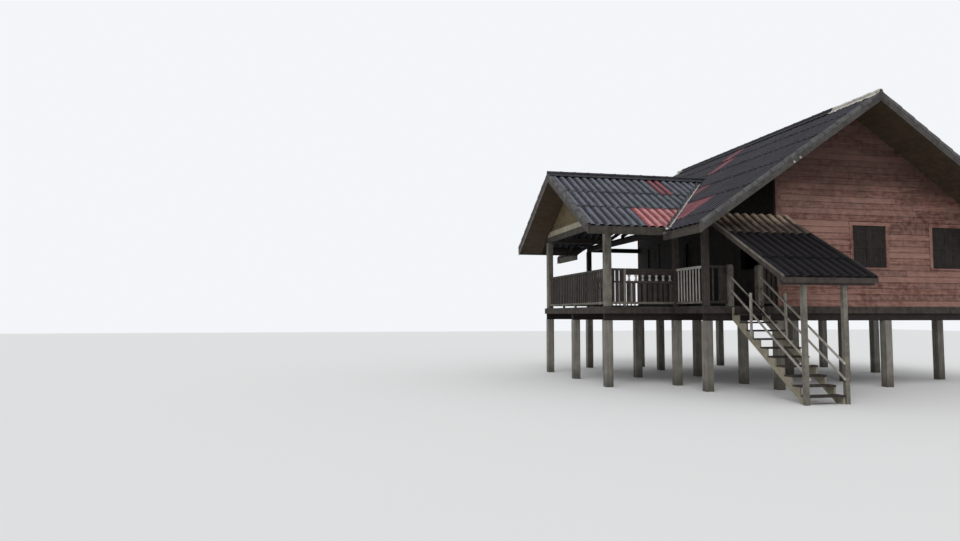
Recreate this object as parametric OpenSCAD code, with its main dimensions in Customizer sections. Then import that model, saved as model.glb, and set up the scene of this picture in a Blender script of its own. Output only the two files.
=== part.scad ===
/* [Main body] */
// Ridge line to the outer face of the back wall, and to the middle of the veranda posts
body_half = 4210; // [3800:10:4600]
// Veranda wall to the middle of the veranda posts
veranda_w = 1970; // [1800:10:2300]
// Half length of the body along the track
body_y = 4050; // [3800:10:4400]
// Wall thickness, studs and boards together
wall_t = 100; // [80:5:140]
// Height of the floor above the ground
deck_z = 2090; // [1800:10:2400]

/* [Main roof] */
// Reach of the main eaves past the walls and the veranda posts
eave_reach = 770; // [650:10:900]
// Height of the tiles at the main eaves above the floor
main_eave_h = 1943; // [1910:1:2010]
// Rise of the main roof from eave to ridge
main_rise = 3407; // [3250:1:3550]
// Reach of the main roof past the gable walls
rake_reach = 1120; // [900:10:1300]

/* [Porch] */
// Half span of the porch roof
porch_half = 3250; // [3150:10:3330]
// Height of the porch eaves above the main eaves
porch_up = 137; // [100:1:180]
// Rise of the porch roof from eave to ridge
porch_rise = 1920; // [1800:1:2000]
// Veranda posts to the porch posts
porch_len = 1965; // [1700:5:2300]
// Reach of the porch roof past its posts
porch_reach = 855; // [700:5:1000]
// Middle of the porch to the middle of its posts
porch_post_y = 2450; // [2300:5:2600]

/* [Roof build-up, measured upright] */
// Thickness of the tile layer
tile_h = 70; // [50:1:80]
// Depth of the purlins
purlin_h = 50; // [40:1:60]
// Depth of the rafters
rafter_h = 130; // [110:1:150]
// Depth of the barge boards
barge_h = 250; // [225:1:280]
// Depth of the eave fascia boards
fascia_h = 180; // [140:1:200]
// Thickness of barge and fascia boards
board_t = 30; // [20:1:40]
// Thickness of the soffit boards
soffit_t = 12; // [8:1:20]
// Half width of the open valley between the tile edges, along the porch
valley_gap = 90; // [60:5:120]
// Length of a tile course along the slope
course = 1300; // [1100:10:1400]
// Greatest spacing of the rafters
rafter_pitch = 1050; // [800:10:1200]
// Width of the purlins
purlin_w = 75; // [50:5:100]
// Thickness of the ridge boards
ridge_board_t = 40; // [30:1:50]
// Reach of a verge cap over the tiles
verge_lap = 110; // [90:5:140]
// Drop of a verge cap over the barge board
verge_drop = 90; // [60:5:120]
// Reach of a ridge cap wing from the ridge, level
cap_wing = 220; // [160:5:260]
// Radius of the round crown of the ridge caps
cap_r = 85; // [60:1:100]
// Thickness of ridge caps and verge caps
cap_t = 18; // [10:1:25]

/* [Timbers] */
// Side of the veranda posts
post_w = 150; // [120:5:180]
// Side of the porch posts
porch_post_w = 180; // [150:5:210]
// Side of the concrete stub posts
stub_w = 200; // [160:5:250]
// Width of beams and girders
beam_w = 100; // [80:5:120]
// Depth of the veranda and porch beams
beam_h = 150; // [120:5:160]
// Depth of the girders under the floor
girder_h = 180; // [150:5:220]
// Depth of the floor joists and rim boards
joist_h = 150; // [120:5:180]
// Greatest spacing of the floor joists
joist_pitch = 650; // [500:10:800]
// Height of the pale sill in the porch gable
gable_sill_h = 165; // [120:5:200]
// Width of joists and rafters
joist_w = 50; // [40:1:60]
// Thickness of the floor boards
floor_t = 30; // [20:1:40]
// Reach of the floor past walls and posts
deck_over = 50; // [20:5:80]

/* [Openings] */
// Width of the door opening to the veranda
door_w = 1100; // [900:10:1300]
// Height of the door opening
door_h = 2050; // [1900:10:2150]
// Width of the windows beside the door
front_win_w = 750; // [600:10:800]
// Middle of the door to the middle of a window beside it
front_win_y = 2875; // [2700:5:3000]
// Width of the other windows
win_w = 1000; // [800:10:1200]
// Height of a window sill above the floor
sill_h = 1015; // [800:5:1100]
// Top of the back wall to the heads of the windows
win_head = 105; // [60:5:200]
// Thickness of door and shutter leaves
leaf_t = 35; // [25:1:45]

/* [Railings] */
// Height of the top rail above the floor
rail_h = 1015; // [900:5:1100]
// Depth of top rails
rail_t = 60; // [45:1:80]
// Height of the bottom rail's underside above the floor
rail_gap = 70; // [40:5:120]
// Thickness of railing boards and balusters
slat_t = 22; // [18:1:35]
// Width of the railing boards
slat_w = 100; // [80:5:130]
// Spacing of the railing boards
slat_pitch = 150; // [140:5:190]
// Width of the veranda balusters
baluster_w = 45; // [30:1:60]
// Spacing of the turned spindles
spindle_pitch = 190; // [160:5:230]
// Greatest radius of a turned spindle
spindle_r = 45; // [25:1:50]
// Height of the row of turned spindles
spindle_h = 160; // [120:5:200]
// Depth of the boarding over the row of turned spindles
row_board_h = 110; // [80:5:140]

/* [Stair] */
// Veranda posts to the middle of the left stringer
stair_in = 653; // [600:1:700]
// Distance between the middles of the stringers
stair_w = 827; // [780:1:880]
// Number of risers
risers = 11; // [9:1:13]
// Going of one step
going = 276; // [255:1:290]
// Thickness of a tread
tread_t = 40; // [30:1:50]
// Depth of a tread from front to back
tread_d = 260; // [240:1:285]
// Reach of a tread past the riser line
nosing = 25; // [15:1:35]
// Depth of the stair's rails
stair_rail_h = 50; // [40:1:60]
// Thickness of the stair's rails
stair_rail_t = 40; // [30:1:50]
// Thickness of the stringers
stringer_t = 45; // [35:1:60]
// Upright distance from the nosing line to the underside of a stringer
stringer_drop = 343; // [300:1:380]
// Height of the stair's top rail above the nosing line
hand_h = 715; // [620:1:850]
// Height of the stair's middle rail above the nosing line
knee_h = 385; // [280:1:420]
// Side of the newels at the head of the stair
newel_w = 150; // [120:5:170]
// Height of those newels above the floor
newel_h = 1045; // [1000:5:1150]

/* [Stair canopy] */
// Reach of the canopy past the left stringer
canopy_over = 613; // [500:1:640]
// Reach of the canopy past the corner of the room
canopy_lap = 290; // [200:5:400]
// Height of the canopy tiles above the foot of the veranda beam, at the wall
canopy_up = 234; // [200:2:250]
// Fall of the canopy over its whole reach
canopy_fall = 1660; // [1500:2:1800]
// Reach of the canopy from the wall, level
canopy_reach = 2960; // [2900:10:3100]
// Middle of the canopy posts from the wall
canopy_post_out = 2800; // [2700:10:2850]
// Side of the canopy posts
canopy_post_w = 100; // [80:5:120]
// Thickness of the canopy's tiles with their waves
canopy_tile = 60; // [45:1:70]
// Depth of the canopy's rafters
canopy_rafter = 100; // [80:5:120]

/* [Hidden] */

// Colours
tile_grey = [0.27, 0.27, 0.29];
timber_grey = [0.45, 0.40, 0.35];
timber_dark = [0.24, 0.19, 0.16];
timber_pale = [0.66, 0.61, 0.54];
wall_red = [0.55, 0.31, 0.27];
board_tan = [0.58, 0.50, 0.36];
soffit_brown = [0.33, 0.25, 0.17];
concrete = [0.62, 0.61, 0.58];
zinc = [0.60, 0.60, 0.60];
white_paint = [0.88, 0.87, 0.84];

// Saw cut left between boards that meet, so that they stay separate
cut = 2;
// Reach of tiles past a fascia board
tile_over = 30;
// Reach of the porch ridge line and other cutting shapes past what they cut
past = 400;
// Steps in a full circle
$fn = 48;

// Main lines of the plan, from the ridge line
front_wall_x = body_half - veranda_w;
main_half = body_half + eave_reach;
main_rake_y = body_y + rake_reach;
porch_post_x = body_half + porch_len;
porch_rake_x = porch_post_x + porch_reach;
stair_left_x = body_half - stair_in;
canopy_left_x = stair_left_x + canopy_over;
canopy_right_x = front_wall_x - canopy_lap;

// Heights of the tiles at the eaves
main_eave_z = deck_z + main_eave_h;
porch_eave_z = main_eave_z + porch_up;

// Layers of the roof, measured down from the tile tops
purlin_d = tile_h;
rafter_d = purlin_d + purlin_h;
roof_d = rafter_d + rafter_h;

// Heights of the floor frame
joist_top = deck_z - floor_t;
girder_top = joist_top - joist_h;
stub_top = girder_top - girder_h;

// Outline of the floor
deck_y = body_y + deck_over;
deck_back_x = body_half + deck_over;
deck_front_x = body_half + post_w / 2 + deck_over;
porch_front_x = porch_post_x + porch_post_w / 2 + deck_over;
porch_side_y = porch_post_y + porch_post_w / 2 + deck_over;

// The footprint of the whole building is centred on the origin
front_x = porch_rake_x + cap_t;
back_x = main_half + tile_over;
near_y = body_y + canopy_reach;
far_y = main_rake_y + cap_t;

// Heights of the tile tops: x runs across the main roof, y across the porch roof
function main_z(x) = main_eave_z + main_rise * (1 - abs(x) / main_half);
function porch_z(y) = porch_eave_z + porch_rise * (1 - abs(y) / porch_half);
function canopy_z_at(y) = canopy_z + (y + body_y) * canopy_fall / canopy_reach;
// Where the porch roof meets the front slope of the main roof
function valley_x(y) = main_half * ((porch_z(y) - main_eave_z) / main_rise - 1);
// Evenly spread places from a to b, no further apart than pitch
function spread(a, b, pitch) =
    let (n = max(1, ceil((b - a) / pitch))) [for (i = [0:n]) a + i * (b - a) / n];

// The veranda beam follows the rafters on top and is level below
veranda_beam_z = main_z(body_half + beam_w / 2) - roof_d - beam_h;
canopy_z = veranda_beam_z + canopy_up;
// Foot and height of all windows
win_z = deck_z + sill_h;
win_h = main_z(body_half) - roof_d - win_head - win_z;

module placed() translate([(front_x - back_x) / 2, (near_y - far_y) / 2, 0]) children();

module block(x0, x1, y0, y1, z0, z1)
    translate([x0, y0, z0]) cube([x1 - x0, y1 - y0, z1 - z0]);

// A profile in x and z, run from y0 to y1
module along_y(y0, y1, outline)
    translate([0, y1, 0]) rotate([90, 0, 0]) linear_extrude(y1 - y0) polygon(outline);

// A profile in y and z, run from x0 to x1
module along_x(x0, x1, outline)
    translate([x0, 0, 0]) rotate([90, 0, 90]) linear_extrude(x1 - x0) polygon(outline);

// A layer of one main slope, d0 to d1 below the tile tops
module main_layer(x0, x1, y0, y1, d0, d1)
    along_y(y0, y1, [[x0, main_z(x0) - d0], [x1, main_z(x1) - d0],
                     [x1, main_z(x1) - d1], [x0, main_z(x0) - d1]]);

module porch_layer(x0, x1, y0, y1, d0, d1)
    along_x(x0, x1, [[y0, porch_z(y0) - d0], [y1, porch_z(y1) - d0],
                     [y1, porch_z(y1) - d1], [y0, porch_z(y0) - d1]]);

module canopy_layer(x0, x1, y0, y1, d0, d1)
    along_x(x0, x1, [[y0, canopy_z_at(y0) - d0], [y1, canopy_z_at(y1) - d0],
                     [y1, canopy_z_at(y1) - d1], [y0, canopy_z_at(y0) - d1]]);

// Upright prism over the plan between the two valleys, its edges moved back by m
module between_valleys(m) {
    top_x = valley_x(0) + m;
    lean = (valley_x(0) - valley_x(porch_half)) / porch_half;
    run = top_x + porch_rake_x + past;
    linear_extrude(main_eave_z + main_rise + past)
        polygon([[top_x, 0], [top_x - run, run / lean], [top_x - run, -run / lean]]);
}

module stub_posts() color(concrete) placed() {
    reach = body_half - stub_w / 2;
    for (y = [-body_y + beam_w / 2, -porch_post_y, 0, porch_post_y, body_y - beam_w / 2])
        for (x = [-body_half, -front_wall_x, (reach - front_wall_x) / 2, reach])
            block(x - stub_w / 2, x + stub_w / 2, y - stub_w / 2, y + stub_w / 2, 0, stub_top);
    for (y = [-porch_post_y, 0, porch_post_y])
        block(-porch_post_x - stub_w / 2, -porch_post_x + stub_w / 2,
              y - stub_w / 2, y + stub_w / 2, 0, stub_top);
}

module girders() color(timber_dark) placed() {
    for (s = [-1, 1]) {
        y = s * (body_y - beam_w / 2);
        block(-deck_front_x + board_t, deck_back_x - board_t, y - beam_w / 2, y + beam_w / 2,
              stub_top, girder_top);
    }
    for (y = [-porch_post_y, 0, porch_post_y])
        block(-porch_front_x + board_t, deck_back_x - board_t, y - beam_w / 2, y + beam_w / 2,
              stub_top, girder_top);
}

module floor_joists() color(timber_dark) placed() {
    main_x = spread(-deck_front_x + board_t + joist_w / 2, deck_back_x - board_t - joist_w / 2,
                    joist_pitch);
    porch_x = spread(-porch_front_x + board_t + joist_w / 2, -deck_front_x, joist_pitch);
    for (x = main_x)
        block(x - joist_w / 2, x + joist_w / 2, -deck_y + board_t, deck_y - board_t,
              girder_top, joist_top);
    for (i = [0:len(porch_x) - 2])
        block(porch_x[i] - joist_w / 2, porch_x[i] + joist_w / 2,
              -porch_side_y + board_t, porch_side_y - board_t, girder_top, joist_top);
}

// Boards round the edge of the floor frame
module rim_boards() color(timber_grey) placed() {
    for (s = [-1, 1]) {
        y = s * (deck_y - board_t / 2);
        block(-deck_front_x, deck_back_x, y - board_t / 2, y + board_t / 2, girder_top, joist_top);
        side_y = s * (porch_side_y - board_t / 2);
        block(-porch_front_x, -deck_front_x - cut, side_y - board_t / 2, side_y + board_t / 2,
              girder_top, joist_top);
        front_y = s * (porch_side_y + deck_y - board_t - cut) / 2;
        front_half = (deck_y - board_t - cut - porch_side_y) / 2;
        block(-deck_front_x, -deck_front_x + board_t, front_y - front_half, front_y + front_half,
              girder_top, joist_top);
    }
    inner_y = porch_side_y - board_t - cut;
    block(-porch_front_x, -porch_front_x + board_t, -inner_y, inner_y, girder_top, joist_top);
    back_y = deck_y - board_t - cut;
    block(deck_back_x - board_t, deck_back_x, -back_y, back_y, girder_top, joist_top);
}

module room_floor() color(timber_grey) placed()
    block(-front_wall_x, deck_back_x, -deck_y, deck_y, joist_top, deck_z);

module veranda_floor() color(timber_grey) placed()
    block(-deck_front_x, -front_wall_x, -deck_y, deck_y, joist_top, deck_z);

module porch_floor() color(timber_grey) placed()
    block(-porch_front_x, -deck_front_x, -porch_side_y, porch_side_y, joist_top, deck_z);

// A cut through a wall that faces front or back, with its middle at y
module x_opening(x, y, w, z0, h)
    block(x - wall_t, x + wall_t * 2, y - w / 2, y + w / 2, z0, z0 + h);

module front_wall() color(timber_dark) placed() difference() {
    x = -front_wall_x;
    inner_y = body_y - wall_t;
    along_y(-inner_y, inner_y, [[x, deck_z], [x + wall_t, deck_z],
                                [x + wall_t, main_z(x + wall_t) - roof_d], [x, main_z(x) - roof_d]]);
    x_opening(x, 0, door_w, deck_z - 1, door_h + 1);
    for (s = [-1, 1])
        x_opening(x, s * front_win_y, front_win_w, win_z, win_h);
}

back_win_y = (body_y - wall_t) * 2 / 3;

module back_wall() color(wall_red) placed() difference() {
    x = body_half - wall_t;
    inner_y = body_y - wall_t;
    along_y(-inner_y, inner_y, [[x, deck_z], [x + wall_t, deck_z],
                                [x + wall_t, main_z(x + wall_t) - roof_d], [x, main_z(x) - roof_d]]);
    for (y = [-back_win_y, 0, back_win_y])
        x_opening(x, y, win_w, win_z, win_h);
}

// Middles of the windows in the gable walls
gable_win_x = [for (k = [0.42, 0.8]) -front_wall_x + k * (body_half + front_wall_x)];

module gable_wall(side) difference() {
    y0 = side < 0 ? -body_y : body_y - wall_t;
    x0 = -front_wall_x;
    x1 = body_half;
    along_y(y0, y0 + wall_t, [[x0, deck_z], [x1, deck_z], [x1, main_z(x1) - roof_d],
                              [0, main_z(0) - roof_d], [x0, main_z(x0) - roof_d]]);
    for (x = gable_win_x)
        block(x - win_w / 2, x + win_w / 2, y0 - wall_t, y0 + wall_t * 2,
              win_z, win_z + win_h);
}

module near_gable_wall() color(wall_red) placed() gable_wall(-1);

module far_gable_wall() color(wall_red) placed() gable_wall(1);

// Two door leaves, each hung on its jamb
module front_door() color(timber_dark) placed() {
    x = -front_wall_x + leaf_t;
    for (s = [-1, 1]) {
        y = s * (door_w + cut) / 4;
        half = (door_w - cut) / 4;
        block(x, x + leaf_t, y - half, y + half, deck_z, deck_z + door_h);
    }
}

// Pairs of shutter leaves: closed, except at the near window beside the door
module window_shutters() color(timber_dark) placed() {
    z0 = win_z;
    z1 = z0 + win_h;
    leaf = (win_w - cut) / 2;
    for (s = [-1, 1]) {
        for (y = [-back_win_y, 0, back_win_y])
            block(body_half - leaf_t, body_half, y + s * (leaf + cut) / 2 - leaf / 2,
                  y + s * (leaf + cut) / 2 + leaf / 2, z0, z1);
        for (x = gable_win_x, side = [-1, 1]) {
            y = side * (body_y - leaf_t / 2);
            mid = x + s * (leaf + cut) / 2;
            block(mid - leaf / 2, mid + leaf / 2, y - leaf_t / 2, y + leaf_t / 2, z0, z1);
        }
        front_leaf = (front_win_w - cut) / 2;
        shut_y = front_win_y + s * (front_leaf + cut) / 2;
        block(-front_wall_x, -front_wall_x + leaf_t, shut_y - front_leaf / 2,
              shut_y + front_leaf / 2, z0, z1);
        open_y = -front_win_y + s * (front_win_w + front_leaf) / 2;
        block(-front_wall_x - leaf_t, -front_wall_x, open_y - front_leaf / 2,
              open_y + front_leaf / 2, z0, z1);
    }
}

module veranda_posts() color(timber_grey) placed() {
    end_y = body_y - post_w / 2;
    for (y = [-end_y, -porch_post_y, porch_post_y, end_y])
        block(-body_half - post_w / 2, -body_half + post_w / 2, y - post_w / 2, y + post_w / 2,
              deck_z, veranda_beam_z);
}

module veranda_beams() color(timber_dark) placed() {
    x0 = -body_half - beam_w / 2;
    x1 = x0 + beam_w;
    z = veranda_beam_z;
    along_y(-body_y, body_y, [[x0, z], [x1, z], [x1, main_z(x1) - roof_d], [x0, main_z(x0) - roof_d]]);
    for (s = [-1, 1]) {
        y = s * (body_y - beam_w / 2);
        block(x1 + cut, -front_wall_x, y - beam_w / 2, y + beam_w / 2, z, z + beam_h);
    }
}

// The porch beams follow the porch rafters on top and are level below
porch_beam_z = porch_z(porch_post_y + beam_w / 2) - roof_d - beam_w;
// Outer face of the boards in the porch gable
gable_face_x = porch_post_x + porch_post_w / 2 - board_t * 2 / 3;

module porch_posts() color(timber_pale) placed()
    for (s = [-1, 1]) {
        y = s * porch_post_y;
        half = porch_post_w / 2;
        block(-porch_post_x - half, -porch_post_x + half, y - half, y + half, deck_z, porch_beam_z);
    }

// The tie beam ends below the rafters' feet
tie_top = porch_z(porch_post_y - beam_w / 2) - roof_d;

module porch_beams() color(timber_grey) placed() {
    for (s = [-1, 1]) {
        a = s * (porch_post_y - beam_w / 2);
        b = s * (porch_post_y + beam_w / 2);
        along_x(-gable_face_x, -body_half - beam_w / 2,
                [[a, porch_beam_z], [b, porch_beam_z],
                 [b, porch_z(b) - roof_d], [a, porch_z(a) - roof_d]]);
    }
    tie_x = -porch_post_x - porch_post_w / 2;
    inner_y = porch_post_y - beam_w / 2 - cut;
    block(tie_x, tie_x + beam_w, -inner_y, inner_y, porch_beam_z, tie_top);
}

// Pale sill board across the foot of the porch gable, cut to the soffits
module gable_sill() color(timber_pale) placed() {
    sill_top = tie_top + gable_sill_h;
    slope = porch_rise / porch_half;
    low_y = (porch_z(0) - roof_d - soffit_t - tie_top) / slope;
    high_y = (porch_z(0) - roof_d - soffit_t - sill_top) / slope;
    along_x(-gable_face_x - board_t, -gable_face_x,
            [[-low_y, tie_top], [low_y, tie_top], [high_y, sill_top], [-high_y, sill_top]]);
}

module gable_boards() color(board_tan) placed() {
    side_y = porch_post_y + beam_w / 2;
    notch_y = ridge_board_t / 2;
    notch_z = porch_z(0) - roof_d;
    top_z = porch_z(notch_y) - rafter_d;
    along_x(-gable_face_x, -gable_face_x + board_t,
            [[-side_y, tie_top], [side_y, tie_top], [side_y, porch_z(side_y) - rafter_d],
             [notch_y, top_z], [notch_y, notch_z], [-notch_y, notch_z], [-notch_y, top_z],
             [-side_y, porch_z(side_y) - rafter_d]]);
}

// Inner faces of the eave fascias
main_fascia_x = main_half - tile_over - board_t;
porch_fascia_y = porch_half - tile_over - board_t;

// Rafters over the porch opening stop at the veranda beam, the others run to the eave
module main_rafters() color(timber_dark) placed() {
    barge_y = main_rake_y - board_t - joist_w / 2;
    wall_y = body_y - wall_t / 2;
    for (y = concat([-barge_y, barge_y], spread(-wall_y, wall_y, rafter_pitch))) {
        foot = abs(y) < porch_half ? body_half + beam_w / 2 : main_fascia_x;
        main_layer(-foot, -ridge_board_t / 2, y - joist_w / 2, y + joist_w / 2, rafter_d, roof_d);
        main_layer(ridge_board_t / 2, main_fascia_x, y - joist_w / 2, y + joist_w / 2,
                   rafter_d, roof_d);
    }
}

main_cos = cos(atan(main_rise / main_half));
porch_cos = cos(atan(porch_rise / porch_half));

// Purlins under the laps of the tile courses, with the ridge board
module main_purlins() color(timber_dark) placed() {
    end_y = main_rake_y - board_t;
    laps = floor((main_fascia_x - purlin_w - cap_wing) / (course * main_cos));
    low_x = main_fascia_x - purlin_w / 2;
    places = concat([cap_wing / 2], [for (i = [0:laps]) low_x - i * course * main_cos]);
    for (x = places) {
        difference() {
            main_layer(-x - purlin_w / 2, -x + purlin_w / 2, -end_y, end_y, purlin_d, rafter_d);
            between_valleys(valley_gap + purlin_w + cut);
        }
        main_layer(x - purlin_w / 2, x + purlin_w / 2, -end_y, end_y, purlin_d, rafter_d);
    }
    block(-ridge_board_t / 2, ridge_board_t / 2, -end_y, end_y,
          main_z(0) - roof_d, main_z(ridge_board_t / 2) - purlin_d);
}

module porch_rafters() color(timber_dark) placed() intersection() {
    union() {
        first = -porch_rake_x + board_t + joist_w / 2;
        gable = -gable_face_x + board_t + joist_w / 2;
        last = -body_half - beam_w / 2 - joist_w - cut;
        for (x = concat([first], spread(gable, last, rafter_pitch)), s = [-1, 1]) {
            a = s * ridge_board_t / 2;
            b = s * porch_fascia_y;
            porch_layer(x - joist_w / 2, x + joist_w / 2, min(a, b), max(a, b), rafter_d, roof_d);
        }
    }
    between_valleys(-valley_gap - purlin_w - cut);
}

// Porch purlins, its ridge board and the boards under the valleys
module porch_purlins() color(timber_dark) placed() {
    laps = floor((porch_fascia_y - purlin_w - cap_wing) / (course * porch_cos));
    low_y = porch_fascia_y - purlin_w / 2;
    places = concat([cap_wing / 2], [for (i = [0:laps]) low_y - i * course * porch_cos]);
    intersection() {
        union() {
            for (y = places, s = [-1, 1])
                porch_layer(-porch_rake_x + board_t, past, s * y - purlin_w / 2, s * y + purlin_w / 2,
                            purlin_d, rafter_d);
            difference() {
                block(-porch_rake_x + board_t, 0, -ridge_board_t / 2, ridge_board_t / 2,
                      porch_z(0) - roof_d, porch_z(ridge_board_t / 2) - purlin_d);
                main_layer(-main_half, past, -past, past, rafter_d, main_rise);
            }
        }
        between_valleys(-valley_gap - purlin_w - cut);
    }
    for (s = [-1, 1])
        valley_strip(s, valley_gap + purlin_w, porch_half, 2 * cap_wing, purlin_d, rafter_d);
}

// A strip of both roof planes beside one valley, w wide each way, from y = far down to y = near
module valley_strip(s, w, far, near, d0, d1) {
    x_far = valley_x(far);
    x_near = valley_x(near);
    tall = main_eave_z + main_rise;
    low_x = x_far - w - past;
    intersection() {
        main_layer(low_x, 0, min(s * far, s * near), max(s * far, s * near), d0, d1);
        linear_extrude(tall) polygon([[x_far, s * far], [x_far + w, s * far],
                                      [x_near + w, s * near], [x_near, s * near]]);
    }
    intersection() {
        porch_layer(low_x, 0, min(s * far, s * near), max(s * far, s * near), d0, d1);
        linear_extrude(tall) polygon([[x_far - w, s * far], [x_far, s * far],
                                      [x_near, s * near], [x_near - w, s * near]]);
    }
}

module main_roof_front() color(tile_grey) placed() difference() {
    main_layer(-main_half, 0, -main_rake_y + board_t, main_rake_y - board_t, 0, tile_h);
    between_valleys(valley_gap);
}

module main_roof_back() color(tile_grey) placed()
    main_layer(0, main_half, -main_rake_y + board_t, main_rake_y - board_t, 0, tile_h);

module porch_slope(s) intersection() {
    porch_layer(-porch_rake_x + board_t, past, min(0, s * porch_half), max(0, s * porch_half),
                0, tile_h);
    between_valleys(-valley_gap);
}

module porch_roof_near() color(tile_grey) placed() porch_slope(-1);

module porch_roof_far() color(tile_grey) placed() porch_slope(1);

// Ridge cap from y = 0 to len: a round crown with a wing down each slope, hollow to their form
module ridge_cap(len, rise, half) {
    low = -cap_wing * rise / half;
    difference() {
        union() {
            rotate([90, 0, 0]) mirror([0, 0, 1]) cylinder(h = len, r = cap_r);
            along_y(0, len, [[-cap_wing, low], [-cap_wing, low + cap_t], [0, cap_t * 2],
                             [cap_wing, low + cap_t], [cap_wing, low], [0, -cap_t]]);
        }
        along_y(-cut, len + cut, [[0, 0], [cap_wing * 2, low * 2], [cap_wing * 2, low * 3],
                                  [-cap_wing * 2, low * 3], [-cap_wing * 2, low * 2]]);
    }
}

module main_ridge_cap() color(tile_grey) placed()
    translate([0, -main_rake_y, main_z(0)]) ridge_cap(main_rake_y * 2, main_rise, main_half);

module porch_ridge_cap() color(tile_grey) placed() difference() {
    translate([-porch_rake_x, 0, porch_z(0)]) rotate([0, 0, -90])
        ridge_cap(porch_rake_x, porch_rise, porch_half);
    main_layer(-porch_rake_x, 0, -past, past, 0, main_eave_z + main_rise);
}

// Angle caps along the verges, over the tiles and down the barge boards
module verge_caps() color(tile_grey) placed() {
    for (s = [-1, 1], t = [-1, 1]) {
        a = s * (cap_wing + cut);
        b = s * main_half;
        out = t * main_rake_y;
        in = out - t * verge_lap;
        main_layer(min(a, b), max(a, b), min(out, in), max(out, in), -cap_t, 0);
        main_layer(min(a, b), max(a, b), min(out, out + t * cap_t), max(out, out + t * cap_t),
                   -cap_t, verge_drop);
    }
    for (s = [-1, 1]) {
        a = s * (cap_wing + cut);
        b = s * porch_half;
        porch_layer(-porch_rake_x, -porch_rake_x + verge_lap, min(a, b), max(a, b), -cap_t, 0);
        porch_layer(-porch_rake_x - cap_t, -porch_rake_x, min(a, b), max(a, b), -cap_t, verge_drop);
    }
}

// Folded metal troughs in the two valleys, running past the eaves
module valley_gutters() color(zinc) placed() {
    sheet_t = 6;
    lean = (valley_x(0) - valley_x(porch_half)) / porch_half;
    spill = (valley_x(porch_half) + main_half + valley_gap) / lean;
    for (s = [-1, 1])
        valley_strip(s, valley_gap - cut, porch_half + spill, cap_wing, tile_h - sheet_t, tile_h);
}

// Boards up the edges of both roofs, in pairs that meet at the ridge
module barge_boards() color(timber_grey) placed()
    for (s = [-1, 1]) {
        a = s * cut / 2;
        b = s * (main_half + tile_over);
        for (t = [-1, 1]) {
            out = t * main_rake_y;
            in = out - t * board_t;
            main_layer(min(a, b), max(a, b), min(out, in), max(out, in), 0, barge_h);
        }
        c = s * (porch_half + tile_over);
        porch_layer(-porch_rake_x, -porch_rake_x + board_t, min(a, c), max(a, c), 0, barge_h);
    }

// Fascia boards at the eaves, under the tiles
module eave_fascias() color(timber_grey) placed() {
    end_y = main_rake_y - board_t;
    main_low = main_eave_z - tile_h - fascia_h;
    porch_low = porch_eave_z - tile_h - fascia_h;
    x0 = main_fascia_x;
    x1 = x0 + board_t;
    fascia = [[x0, main_low], [x1, main_low], [x1, main_z(x1) - tile_h], [x0, main_z(x0) - tile_h]];
    along_y(-end_y, end_y, fascia);
    for (s = [-1, 1]) {
        meet = s * (porch_fascia_y + board_t + cut);
        along_y(min(meet, s * end_y), max(meet, s * end_y), [for (p = fascia) [-p[0], p[1]]]);
        a = s * porch_fascia_y;
        b = s * (porch_fascia_y + board_t);
        along_x(-porch_rake_x + board_t, -main_fascia_x,
                [[a, porch_low], [b, porch_low], [b, porch_z(b) - tile_h], [a, porch_z(a) - tile_h]]);
    }
}

// Boards under the roof past the gables
module gable_soffits() color(soffit_brown) placed() {
    for (s = [-1, 1], t = [-1, 1]) {
        a = s * cut / 2;
        b = s * main_fascia_x;
        c = t * body_y;
        d = t * (main_rake_y - board_t);
        main_layer(min(a, b), max(a, b), min(c, d), max(c, d), roof_d, roof_d + soffit_t);
    }
    for (s = [-1, 1]) {
        a = s * cut / 2;
        b = s * porch_fascia_y;
        porch_layer(-porch_rake_x + board_t, -gable_face_x, min(a, b), max(a, b),
                    roof_d, roof_d + soffit_t);
    }
}

rail_top = deck_z + rail_h;
rail_low = deck_z + rail_gap;
post_face_x = body_half + post_w / 2;

// A railing of boards between two rails, from a to b along y, with its middle at x
module railing_y(x, a, b, w, pitch) {
    block(x - rail_t / 2, x + rail_t / 2, a, b, rail_top - rail_t, rail_top);
    block(x - rail_t / 2, x + rail_t / 2, a, b, rail_low, rail_low + rail_t);
    n = max(1, round((b - a) / pitch));
    for (i = [0:n - 1]) {
        y = a + (i + 0.5) * (b - a) / n;
        block(x - slat_t / 2, x + slat_t / 2, y - w / 2, y + w / 2,
              rail_low + rail_t, rail_top - rail_t);
    }
}

// The same along x, with its middle at y
module railing_x(y, a, b, w, pitch) {
    block(a, b, y - rail_t / 2, y + rail_t / 2, rail_top - rail_t, rail_top);
    block(a, b, y - rail_t / 2, y + rail_t / 2, rail_low, rail_low + rail_t);
    n = max(1, round((b - a) / pitch));
    for (i = [0:n - 1]) {
        x = a + (i + 0.5) * (b - a) / n;
        block(x - w / 2, x + w / 2, y - slat_t / 2, y + slat_t / 2,
              rail_low + rail_t, rail_top - rail_t);
    }
}

module porch_front_railing() color(timber_grey) placed() {
    end_y = porch_post_y - porch_post_w / 2;
    railing_y(-porch_post_x, -end_y, end_y, slat_w, slat_pitch);
    block(-porch_post_x - rail_t / 2, -porch_post_x + rail_t / 2, -rail_t / 2, rail_t / 2,
          deck_z, rail_low);
}

// One turned spindle, wide at both ends and drawn in to a waist by one hollow curve
module spindle(h) {
    flat = h / 14;
    waist = spindle_r * 0.5;
    half = h / 2 - flat;
    centre = (spindle_r ^ 2 + half ^ 2 - waist ^ 2) / (2 * (spindle_r - waist));
    rotate_extrude() difference() {
        square([spindle_r, h]);
        translate([centre, h / 2]) circle(centre - waist);
    }
}

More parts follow.
